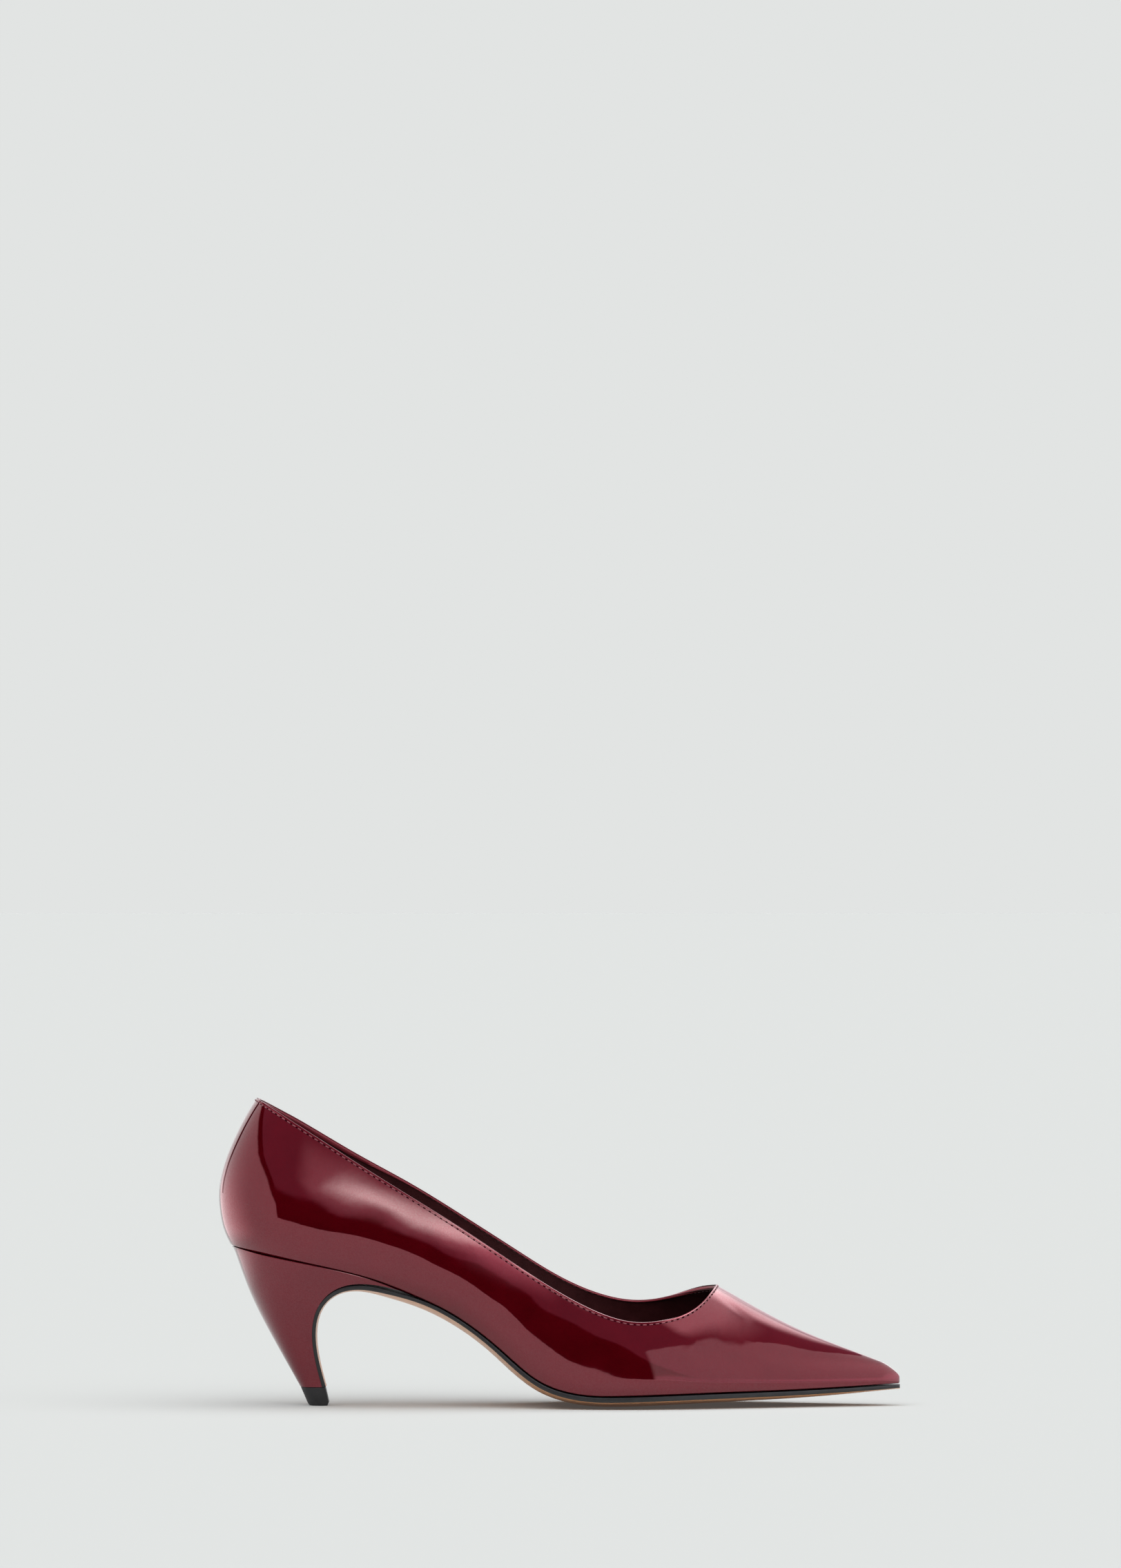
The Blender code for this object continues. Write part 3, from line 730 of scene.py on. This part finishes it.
def rim_profile(inside):
    """(side share, proud, height over the edge) of the turned edge, outer foot to inner foot."""
    arc = np.linspace(0, math.pi, BINDING_ARC)
    round_top = [(math.cos(a), BINDING_PROUD, (math.sin(a) - 1) * BINDING_ROUND) for a in arc]
    turn = BINDING_PROUD * FOOT_PROUD
    outer_foot = [(1, -BINDING_PROUD, -BINDING_OUT), (1, turn, -BINDING_OUT * FOOT_DEPTH)]
    inner_foot = [(-1, turn, -inside * FOOT_DEPTH), (-1, -BINDING_PROUD, -inside)]
    return [*outer_foot, *round_top, *inner_foot]


def make_binding(rim_line, patent):
    """The turned edge of the leather round the opening."""
    middle = (rim_line.outer + rim_line.inner) / 2
    half = np.linalg.norm(rim_line.outer - rim_line.inner, axis=1)[:, None] / 2
    behind = ease(rim_line.outer[:, :1], BEHIND_FROM, BEHIND_TO)
    points = []
    for share, proud, height in rim_profile(mix(BINDING_IN, BINDING_IN_BEHIND, behind)):
        out = share * (half + proud)
        points.append(middle + out * rim_line.across - (height + BINDING_LIFT) * rim_line.down)
    solid = Solid()
    close_loop(solid, np.array(points).transpose(1, 0, 2))
    return solid.make("rim_binding", patent)


def on_surface(tree, points):
    """Nearest places on a mesh and their normals, in millimetres."""
    hits = [tree.find_nearest(Vector(point) * MM) for point in points]
    return np.array([hit[0] for hit in hits]) / MM, np.array([hit[1] for hit in hits])


def tube(solid, path, normals, radius):
    """A closed round thread along a path; normals give the direction away from the leather."""
    along = unit(np.gradient(path, axis=0))
    beside = unit(np.cross(along, normals))
    above = np.cross(beside, along)
    turn = np.arange(THREAD_SIDES) * 2 * math.pi / THREAD_SIDES
    rings = [
        p + radius * (np.cos(turn)[:, None] * b + np.sin(turn)[:, None] * a)
        for p, b, a in zip(path, beside, above)
    ]
    solid.sheet([ringed(ring) for ring in rings])
    for ring in (rings[0], rings[-1]):
        solid.face(0, *ring)


def stitch_runs(rim_line):
    """Distances along the loop at which stitches start, and their pitch."""
    count = round(rim_line.run[-1] / STITCH_PITCH)
    return np.arange(count) * rim_line.run[-1] / count, rim_line.run[-1] / count


def make_stitches(name, rim_line, edge, tree, side, thread):
    """Threads of one face of the seam, each between two needle holes."""
    solid = Solid()
    starts, pitch = stitch_runs(rim_line)
    q = steps(THREAD_STEPS)
    for start in starts:
        run = start + pitch * mix(HOLE_SHARE, 1 - HOLE_SHARE, q)
        line = rim_line.at(edge, run) + STITCH_DROP * rim_line.at(rim_line.down, run)
        place, normal = on_surface(tree, line)
        normal *= np.sign((normal * rim_line.at(rim_line.across, run)).sum(axis=1) * side)[:, None]
        lift = THREAD_LIFT * np.sin(q * math.pi) - THREAD_SINK
        tube(solid, place + normal * lift[:, None], normal, THREAD_RADIUS)
    return solid.make(name, thread)


def make_hole_shade(rim_line, tree, dark):
    """Small dark dents between the stitches of the outer face, coloured as painted shade of the needle
    holes.
    """
    solid = Solid()
    starts, _ = stitch_runs(rim_line)
    line = rim_line.at(rim_line.outer, starts) + STITCH_DROP * rim_line.at(rim_line.down, starts)
    places, normals = on_surface(tree, line)
    for place, normal, along in zip(places, normals, rim_line.at(rim_line.along, starts)):
        ahead = np.linspace(-HOLE_LONG, HOLE_LONG, HOLE_POINTS)
        path = place + np.outer(ahead, along) - normal * HOLE_SINK
        tube(solid, path, np.tile(normal, (HOLE_POINTS, 1)), HOLE_RADIUS)
    return solid.make("rim_hole_shade", dark)


def insole_edge(side, lift):
    """One long edge of the insole, from the heel's back to its tip."""

    def height(x):
        return sole_line(x) + lift

    places = [settle(height, share, INSOLE_EDGE)[0] for share in round_steps(HEEL_STEPS)]
    forward = 1 - (1 - steps(QUARTER_STEPS + VAMP_STEPS)[1:]) ** TIP_CROWDING
    x = np.concatenate([places, mix(HEEL_CENTRE_X, INSOLE_TIP_X, forward)])
    y = side * half_width(x, height(x), side, INSOLE_EDGE)
    y[0] = y[-1] = 0.0
    return np.column_stack([x, y, height(x)])


def make_sock(leather):
    """Sock lining on the insole, a little padded, with a rounded edge."""
    solid = Solid()
    under = [insole_edge(side, 0.0) for side in SIDES]
    over = [insole_edge(side, INSOLE_THICK - SOCK_PAD) for side in SIDES]
    rows = []
    for share in (1 - np.cos(steps(SOCK_ACROSS) * math.pi)) / 2:
        row = mix(over[0], over[1], share)
        row[:, 2] += SOCK_PAD * (1 - (2 * share - 1) ** SOCK_FLATNESS)
        rows.append(row)
    solid.sheet(rows)
    solid.strip(*under)
    solid.strip(under[0], over[0])
    solid.strip(under[1], over[1])
    return solid.make("sock", leather)


class SidePath:
    """A smooth path in side view, by distance along it."""

    def __init__(self, points):
        points = np.array(points, float)
        run = run_along(points)
        self.x = spline(run, points[:, 0])
        self.z = spline(run, points[:, 1])
        self.length = float(run[-1])

    def at(self, run):
        return np.array([self.x(run), self.z(run)])

    def left(self, run):
        """Unit direction to the left of the way along the path."""
        along = self.at(run + TANGENT_STEP) - self.at(run - TANGENT_STEP)
        along /= np.hypot(*along)
        return np.array([-along[1], along[0]])


def sole_path():
    """Upper face of the sole: up the heel's breast, over its arch and along the foot to the toe."""
    shank = np.arange(SHANK_JOIN_X, TOE_X, SHANK_STEP)
    under_foot = [(x, sole_line(x) - GAP) for x in [*shank, TOE_X]]
    return SidePath([*BREAST, *under_foot])


SOLE_PATH = sole_path()


def wing_run():
    """Distance along the sole at which the heel's wedge ends."""
    low, high = 0.0, SOLE_PATH.length
    for _ in range(SETTLE_ROUNDS):
        middle = (low + high) / 2
        if SOLE_PATH.x(middle) < WING_TIP_X:
            low = middle
        else:
            high = middle
    return low


WING_RUN = wing_run()


def climb(share):
    """Share of the heel's back that goes with a share of its breast, which runs on under the waist."""
    return 1 - (1 - share) ** BACK_CLIMB


def heel_half(x, z, side):
    """Half width of the heel at a place in side view."""
    seat = foot[side](x) + HEEL_SIDE_PROUD
    up = clamp((z - HEEL_FLOOR) / (sole_line(x) - GAP - HEEL_FLOOR))
    return mix(TIP_HALF, seat, up**HEEL_FLARE)


def heel_front(share):
    """Breast of the heel in side view, up to the front end of the wedge."""
    if share == 1:
        tip_x = WING_TIP_X + WING_FEATHER
        return np.array([tip_x, sole_line(tip_x) - GAP])
    run = share * WING_RUN
    return SOLE_PATH.at(run) + GAP * SOLE_PATH.left(run)


def heel_rear(share):
    """Back of the heel in side view."""
    back_x = HEEL_BACK[-1].x
    z = mix(HEEL_FLOOR, sole_line(back_x) - SEAT_SEAM, climb(share))
    return np.array([heel_back(z), z])


def round_outline(rounded):
    """(share forward, width share) of a half outline that closes round its back."""
    outline = [(rounded * (1 - share), heel_closing(share)) for share in round_steps(HEEL_STEPS)]
    return np.array(outline + [(mix(rounded, 1, share), 1.0) for share in steps(HEEL_SIDE_STEPS)[1:]])


def heel_ring(share, side):
    """Half outline of the heel at one level, from the middle of its back to its breast."""
    rear, front = heel_rear(share), heel_front(share)
    seat_round = (HEEL_CENTRE_X - HEEL_BACK[-1].x) / (WING_TIP_X - HEEL_BACK[-1].x)
    along, width = round_outline(mix(TIP_ROUND_SHARE, seat_round, climb(share))).T
    x, z = mix(rear[:, None], front[:, None], along)
    z = mix(z, sole_line(x) - SEAT_SEAM, share**SEAT_BEND)
    tuck = TUCK * ease(share, SEAT_TUCK_FROM, 1) * (1 - along)
    return np.column_stack([x, side * width * (heel_half(x, z, side) - tuck), z])


def close_rings(solid, rings):
    """A closed body from stacked pairs of half outlines."""
    for side in (0, 1):
        solid.sheet([pair[side] for pair in rings])
    solid.sheet([[pair[0][-1], pair[1][-1]] for pair in rings])
    for pair in (rings[0], rings[-1]):
        solid.strip(*pair)


def make_heel(patent):
    solid = Solid()
    levels = 1 - (1 - steps(HEEL_RINGS)) ** SEAT_CROWDING
    rings = [[heel_ring(share, side) for side in SIDES] for share in levels]
    for half in rings[0]:
        half[:, 2] = HEEL_FLOOR
    close_rings(solid, rings)
    return solid.make("heel_cover", patent)


def tip_level(z):
    """Back, front and half width of the top piece at a height, its edges rounded."""
    heights = [level.z for level in TOP_PIECE]
    back, front, half = (
        np.interp(z, heights, [getattr(level, key) for level in TOP_PIECE])
        for key in ("back", "front", "half")
    )
    near = min(z, heights[-1] - z) / TIP_EDGE
    inset = TIP_EDGE * (1 - math.sqrt(1 - (1 - clamp(near)) ** 2))
    return back + inset, front - inset, half - inset


def make_heel_tip(black):
    """Black tip under the heel, flat on the floor."""
    solid = Solid()
    rings = []
    top = TOP_PIECE[-1].z
    edge = TIP_EDGE * (1 - np.cos(steps(TIP_EDGE_STEPS) * math.pi / 2))
    heights = [*edge, TIP_BEVEL_Z, *(top - edge[::-1])]
    along, width = round_outline(TIP_ROUND_SHARE).T
    for z in heights:
        back, front, half = tip_level(z)
        x = mix(back, front, along)
        level = np.full_like(x, z)
        rings.append([np.column_stack([x, side * half * width, level]) for side in SIDES])
    close_rings(solid, rings)
    return solid.make("heel_tip", black)


def sole_half(run, side):
    """Half width of the sole: the heel's breast, then the foot of the upper and its welt."""
    x, z = SOLE_PATH.at(run)
    welt = WELT * ease(x, WELT_FROM_X, WELT_FULL_X)
    heel_match = HEEL_SIDE_PROUD * (1 - ease(x, WING_TIP_X, WELT_FROM_X))
    wide = foot[side](x) * nose(x, TOE_X) + welt + heel_match
    if run < WING_RUN:
        wide = mix(heel_half(x, z, side), wide, ease(run, WING_RUN - WING_BLEND, WING_RUN))
    return max(wide, SOLE_TIP_HALF)


def sole_section(run):
    """Rows of points across the sole: upper face, lower face and the two rounded edges."""
    left = SOLE_PATH.left(run)
    seat = FLAP_SEAT * (1 - ease(run, WING_RUN - WING_BLEND, WING_RUN))
    top = SOLE_PATH.at(run) + seat * left
    across = -np.cos(steps(SOLE_ACROSS) * math.pi)
    half = np.where(across < 0, sole_half(run, LATERAL), sole_half(run, MEDIAL))
    thick = seat + sole_edge(run) + sole_camber(run) * (1 - across**2)
    y = across * (half - EDGE_ROUND)
    x, z = top[:, None] - thick * left[:, None]
    upper_row = np.column_stack([np.full_like(y, top[0]), y, np.full_like(y, top[1])])
    lower_row = np.column_stack([x, y, np.maximum(z, 0.0)])
    edges = []
    for end, sign in ((0, -1), (-1, 1)):
        down = steps(EDGE_STEPS)[:, None]
        edge = mix(upper_row[end], lower_row[end], down)
        edge[:, 1] += sign * EDGE_ROUND * (1 - np.abs(2 * down[:, 0] - 1) ** EDGE_FLATNESS)
        edges.append(edge)
    return upper_row, lower_row, edges


def make_sole(tan, black):
    """Sole with its flap down the heel's breast: tan bottom, black edge."""
    solid = Solid()
    even = steps(SOLE_STEPS)
    crowded = mix(even, np.sin(even * math.pi / 2), TOE_CROWDING * even)
    sections = [sole_section(run) for run in mix(-FLAP_REACH, SOLE_PATH.length, crowded)]
    solid.sheet([upper for upper, _, _ in sections], 1)
    solid.sheet([lower for _, lower, _ in sections], 0)
    for side in (0, 1):
        solid.sheet([edges[side] for _, _, edges in sections], 1)
    for upper, lower, edges in (sections[0], sections[-1]):
        rows = [mix(upper, lower, share) for share in steps(EDGE_STEPS)]
        for row, lateral, medial in zip(rows, *edges):
            row[0], row[-1] = lateral, medial
        solid.sheet(rows, 1)
    return solid.make("sole", tan, black)


def new_material(name, colour, roughness, **sockets):
    """A principled material and its node tree; further sockets by name with spaces as underscores."""
    material = bpy.data.materials.new(name)
    material.use_nodes = True
    shader = material.node_tree.nodes["Principled BSDF"]
    shader.inputs["Base Color"].default_value = (*colour, 1)
    shader.inputs["Roughness"].default_value = roughness
    for key, value in sockets.items():
        shader.inputs[key.replace("_", " ")].default_value = value
    return material, material.node_tree, shader


def node(tree, kind, **values):
    """A new node with its properties and unlinked inputs set."""
    made = tree.nodes.new(kind)
    for key, value in values.items():
        name = key.replace("_", " ")
        if name in made.inputs:
            made.inputs[name].default_value = value
        else:
            setattr(made, key, value)
    return made


def noise(tree, size, detail, stretch=(1, 1, 1)):
    """Noise with features of a size in millimetres, in the shoe's own coordinates."""
    place = node(tree, "ShaderNodeTexCoord")
    scaled = node(tree, "ShaderNodeMapping")
    scaled.inputs["Scale"].default_value = stretch
    texture = node(tree, "ShaderNodeTexNoise", Scale=1 / (size * MM), Detail=detail)
    tree.links.new(place.outputs["Object"], scaled.inputs["Vector"])
    tree.links.new(scaled.outputs["Vector"], texture.inputs["Vector"])
    return texture.outputs["Fac"]


def bump(tree, height, depth, strength, under=None):
    """Relief of a depth in millimetres."""
    made = node(tree, "ShaderNodeBump", Strength=strength, Distance=depth * MM)
    tree.links.new(height, made.inputs["Height"])
    if under:
        tree.links.new(under, made.inputs["Normal"])
    return made.outputs["Normal"]


def grain_bump(tree, grain, under=None):
    return bump(tree, noise(tree, grain.size, grain.detail), grain.depth, grain.strength, under)


def mottle(tree, shader, pattern, first, second):
    """Gives a shader a base colour that goes from one to another as a noise goes from low to high."""
    ramp = node(tree, "ShaderNodeValToRGB")
    stops = (pattern.low, first), (pattern.high, second)
    for element, (place, colour) in zip(ramp.color_ramp.elements, stops):
        element.position = place
        element.color = (*colour, 1)
    share = noise(tree, pattern.size, pattern.detail, pattern.stretch)
    tree.links.new(share, ramp.inputs["Fac"])
    tree.links.new(ramp.outputs["Color"], shader.inputs["Base Color"])


def patent_leather(name, gloss=PATENT_GLOSS, dark=PATENT, light=PATENT_LIGHT):
    """Burgundy leather under a clear, very glossy film that isn't quite even."""
    material, tree, shader = new_material(
        name, dark, gloss + PATENT_BLUR, IOR=PATENT_IOR, Specular_IOR_Level=1.0,
        Specular_Tint=(*PATENT_TINT, 1), Coat_Roughness=gloss, Coat_IOR=FILM_IOR,
    )
    mottle(tree, shader, PATENT_CLOUD, dark, light)
    film = math_node(tree, "ADD", noise(tree, FILM_SIZE, FILM_DETAIL), FILM_LEAST)
    tree.links.new(film, shader.inputs["Coat Weight"])
    normal = grain_bump(tree, PATENT_GRAIN, grain_bump(tree, PATENT_SWELL))
    tree.links.new(normal, shader.inputs["Normal"])
    tree.links.new(normal, shader.inputs["Coat Normal"])
    return material


def soft_leather(name, dark, light, roughness):
    """Matt leather with a fine grain."""
    material, tree, shader = new_material(name, dark, roughness, Specular_IOR_Level=SOFT_SPECULAR)
    mottle(tree, shader, SOFT_CLOUD, dark, light)
    cells = node(tree, "ShaderNodeTexVoronoi", Scale=1 / (CELL_SIZE * MM))
    tree.links.new(node(tree, "ShaderNodeTexCoord").outputs["Object"], cells.inputs["Vector"])
    dents = bump(tree, cells.outputs["Distance"], CELL_DEPTH, CELL_STRENGTH)
    tree.links.new(dents, shader.inputs["Normal"])
    return material


def sole_leather():
    """Tan leather, polished, with faint streaks along the sole."""
    polish = {"Coat_Weight": POLISH, "Coat_Roughness": POLISH_ROUGH}
    material, tree, shader = new_material("sole_leather", TAN, TAN_ROUGH, **polish)
    mottle(tree, shader, TAN_STREAK, TAN_DARK, TAN)
    tree.links.new(grain_bump(tree, TAN_GRAIN), shader.inputs["Normal"])
    return material


def black_finish(name, roughness, grain):
    """Black paint or rubber, a little uneven."""
    material, tree, shader = new_material(name, BLACK, roughness)
    mottle(tree, shader, BLACK_WEAR, BLACK, BLACK_WORN)
    tree.links.new(grain_bump(tree, grain), shader.inputs["Normal"])
    return material


def thread_material(name, colour, light):
    material, tree, shader = new_material(name, colour, THREAD_ROUGH, Sheen_Weight=THREAD_SHEEN)
    mottle(tree, shader, THREAD_TWIST, colour, light)
    return material


def hole_shade_material():
    # Painted shade: a dark colour without gloss where the needle holes are
    material, tree, shader = new_material("needle_hole_shade", HOLE_SHADE, HOLE_ROUGH, Specular_IOR_Level=0.0)
    mottle(tree, shader, HOLE_SHADE_MOTTLE, HOLE_SHADE, HOLE_SHADE_PALE)
    return material


def linked(tree, kind, *inputs, **values):
    """A node whose first inputs are linked to sockets or set to numbers; gives its first output."""
    made = node(tree, kind, **values)
    for slot, value in zip(made.inputs, inputs):
        if isinstance(value, bpy.types.NodeSocket):
            tree.links.new(value, slot)
        else:
            slot.default_value = value
    return made.outputs[0]


def math_node(tree, operation, *inputs):
    return linked(tree, "ShaderNodeMath", *inputs, operation=operation)


def smooth_step(tree, value, start, end):
    return linked(tree, "ShaderNodeMapRange", value, start, end, interpolation_type="SMOOTHSTEP")


def dot(tree, way, x, y, z):
    """How far a direction or a place lies along a vector."""
    made = node(tree, "ShaderNodeVectorMath", operation="DOT_PRODUCT")
    tree.links.new(way, made.inputs[0])
    made.inputs[1].default_value = (x, y, z)
    return made.outputs["Value"]


def past_heading(tree, way, heading, soft):
    """1 on the half of the room that lies past a heading, going round from the camera to the toe."""
    turn = math.radians(heading)
    return smooth_step(tree, dot(tree, way, math.cos(turn), math.sin(turn), 0), -soft, soft)


def under_top(tree, way, card):
    """How far a direction lies under the top edge of a card."""
    turn = math.radians(card.facing)
    return dot(tree, way, card.slope * math.sin(turn), -card.slope * math.cos(turn), -1)


def card_light(tree, way, card):
    """An upright white card round the shoe, between two headings and under its top edge."""
    light = smooth_step(tree, under_top(tree, way, card), -card.soft, card.soft)
    for end in (card.start, card.end + 180):
        light = math_node(tree, "MULTIPLY", light, past_heading(tree, way, end, card.soft))
    return math_node(tree, "MULTIPLY", light, card.radiance)


def make_world():
    """Studio round the shoe: pale to the camera, and cards and soft light round a dark front."""
    world = bpy.data.worlds.new("studio")
    bpy.context.scene.world = world
    world.cycles_visibility.diffuse = False
    world.use_nodes = True
    tree = world.node_tree
    tree.nodes.clear()
    way = node(tree, "ShaderNodeTexCoord").outputs["Generated"]
    height = math_node(tree, "DEGREES", math_node(tree, "ARCSINE", dot(tree, way, 0, 0, 1)))
    fill = node(tree, "ShaderNodeBackground", Color=(*FILL_COLOUR, 1))
    shown_fill = math_node(tree, "MULTIPLY", smooth_step(tree, height, FILL_FROM, FILL_FULL), FILL)
    clear = smooth_step(tree, under_top(tree, way, HEEL_CARD), -FILL_GAP, -FILL_GAP - HEEL_CARD.soft)
    tree.links.new(math_node(tree, "MULTIPLY", shown_fill, clear), fill.inputs["Strength"])
    overhead = smooth_step(tree, height, OVERHEAD_FROM, OVERHEAD_FULL)
    light = math_node(tree, "MULTIPLY_ADD", overhead, OVERHEAD, AMBIENT)
    for card in (HEEL_CARD, BACK_CARD):
        light = math_node(tree, "ADD", light, card_light(tree, way, card))
    studio = node(tree, "ShaderNodeBackground", Color=(*STUDIO_WHITE, 1))
    tree.links.new(light, studio.inputs["Strength"])
    backdrop = node(tree, "ShaderNodeBackground", Color=(*BACKDROP, 1))
    seen = node(tree, "ShaderNodeLightPath").outputs["Is Camera Ray"]
    room = linked(tree, "ShaderNodeAddShader", studio.outputs[0], fill.outputs[0])
    shown = linked(tree, "ShaderNodeMixShader", seen, room, backdrop.outputs[0])
    tree.links.new(shown, node(tree, "ShaderNodeOutputWorld").inputs["Surface"])


def make_lamp(lamp):
    """A flat lamp with soft edges."""
    light = bpy.data.lights.new(lamp.name, "AREA")
    light.shape = "RECTANGLE"
    light.size, light.size_y = lamp.size
    light.energy = LAMP_POWER * light.size * light.size_y * lamp.radiance
    light.color = lamp.colour
    light.spread = math.radians(lamp.spread)
    light.use_nodes = True
    tree = light.node_tree
    spot = node(tree, "ShaderNodeNewGeometry").outputs["Position"]
    share = 1.0
    for edge in lamp.edges:
        lit = smooth_step(tree, dot(tree, spot, edge.x, edge.y, edge.z), edge.dark, edge.lit)
        share = math_node(tree, "MULTIPLY", lit, share)
    tree.links.new(share, tree.nodes["Emission"].inputs["Strength"])
    made = add_object(lamp.name, light)
    made.location = lamp.place
    made.rotation_euler = [math.radians(turn) for turn in lamp.turn]
    made.visible_camera = False
    made.visible_diffuse = False


def make_sky():
    """Soft light from above that doesn't show in the gloss."""
    light = bpy.data.lights.new("sky", "SUN")
    light.energy = SKY
    light.angle = math.radians(SKY_ANGLE)
    light.color = STUDIO_WHITE
    made = add_object("sky", light)
    made.rotation_euler.x = math.radians(SKY_TILT)
    made.visible_glossy = False


def make_floor():
    mesh = bpy.data.meshes.new("floor")
    corners = [(-1, -1), (1, -1), (1, 1), (-1, 1)]
    mesh.from_pydata([(x * FLOOR_REACH, y * FLOOR_REACH, 0) for x, y in corners], [], [(0, 1, 2, 3)])
    finish = {"Specular_IOR_Level": 0.0, "Emission_Color": (*FLOOR_GLOW, 1), "Emission_Strength": 1.0}
    mesh.materials.append(new_material("floor", FLOOR, FLOOR_ROUGH, **finish)[0])
    floor = add_object("floor", mesh)
    floor.location.z = -FLOOR_GAP


def make_camera():
    camera = add_object("camera", bpy.data.cameras.new("camera"))
    camera.location = CAMERA_AT
    camera.rotation_euler = (Vector(CAMERA_AIM) - Vector(CAMERA_AT)).to_track_quat("-Z", "Y").to_euler()
    camera.data.sensor_width = SENSOR
    camera.data.lens = LENS
    bpy.context.scene.camera = camera


def dress(piece, slot, *nodes):
    """Fixes a piece to the shoe and hides the solids it stands for. The slot is not used."""
    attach(piece, "root")
    if nodes:
        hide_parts(*nodes)


def make_shoe():
    grids = {(side, layer): upper_grid(side, layer) for side in SIDES for layer in (FACE, LINING)}
    rim_line = Rim(grids)
    lining = soft_leather("lining", LINING_DARK, LINING_LIGHT, LINING_ROUGH)
    skin = make_upper(grids, patent_leather("patent"), lining)
    tree = BVHTree.FromObject(skin, bpy.context.evaluated_depsgraph_get())
    dress(skin, "upper", "upper")
    turned = patent_leather("turned_edge", TURNED_GLOSS, TURNED, TURNED_LIGHT)
    dress(make_binding(rim_line, turned), "upper")
    thread = thread_material("thread", THREAD, THREAD_LIGHT)
    dress(make_stitches("rim_stitches", rim_line, rim_line.outer, tree, 1, thread), "upper")
    # Dark pieces in the needle holes of the outer face: painted shade
    dress(make_hole_shade(rim_line, tree, hole_shade_material()), "upper")
    thread = thread_material("lining_thread", LINING_THREAD, LINING_LIGHT)
    dress(make_stitches("lining_stitches", rim_line, rim_line.inner, tree, -1, thread), "insole")
    sock = soft_leather("sock", SOCK_DARK, SOCK_LIGHT, SOCK_ROUGH)
    dress(make_sock(sock), "insole", "insole")
    paint = black_finish("sole_edge", PAINT_ROUGH, PAINT_GRAIN)
    dress(make_sole(sole_leather(), paint), "outsole", "outsole")
    dress(make_heel(patent_leather("heel_patent")), "heel", "heel")
    rubber = black_finish("tip_rubber", RUBBER_ROUGH, RUBBER_GRAIN)
    dress(make_heel_tip(rubber), "top_piece", "top_piece")


make_shoe()
make_floor()
make_world()
make_sky()
for lamp in LAMPS:
    make_lamp(lamp)
make_camera()
bpy.context.scene.view_settings.view_transform = "Standard"
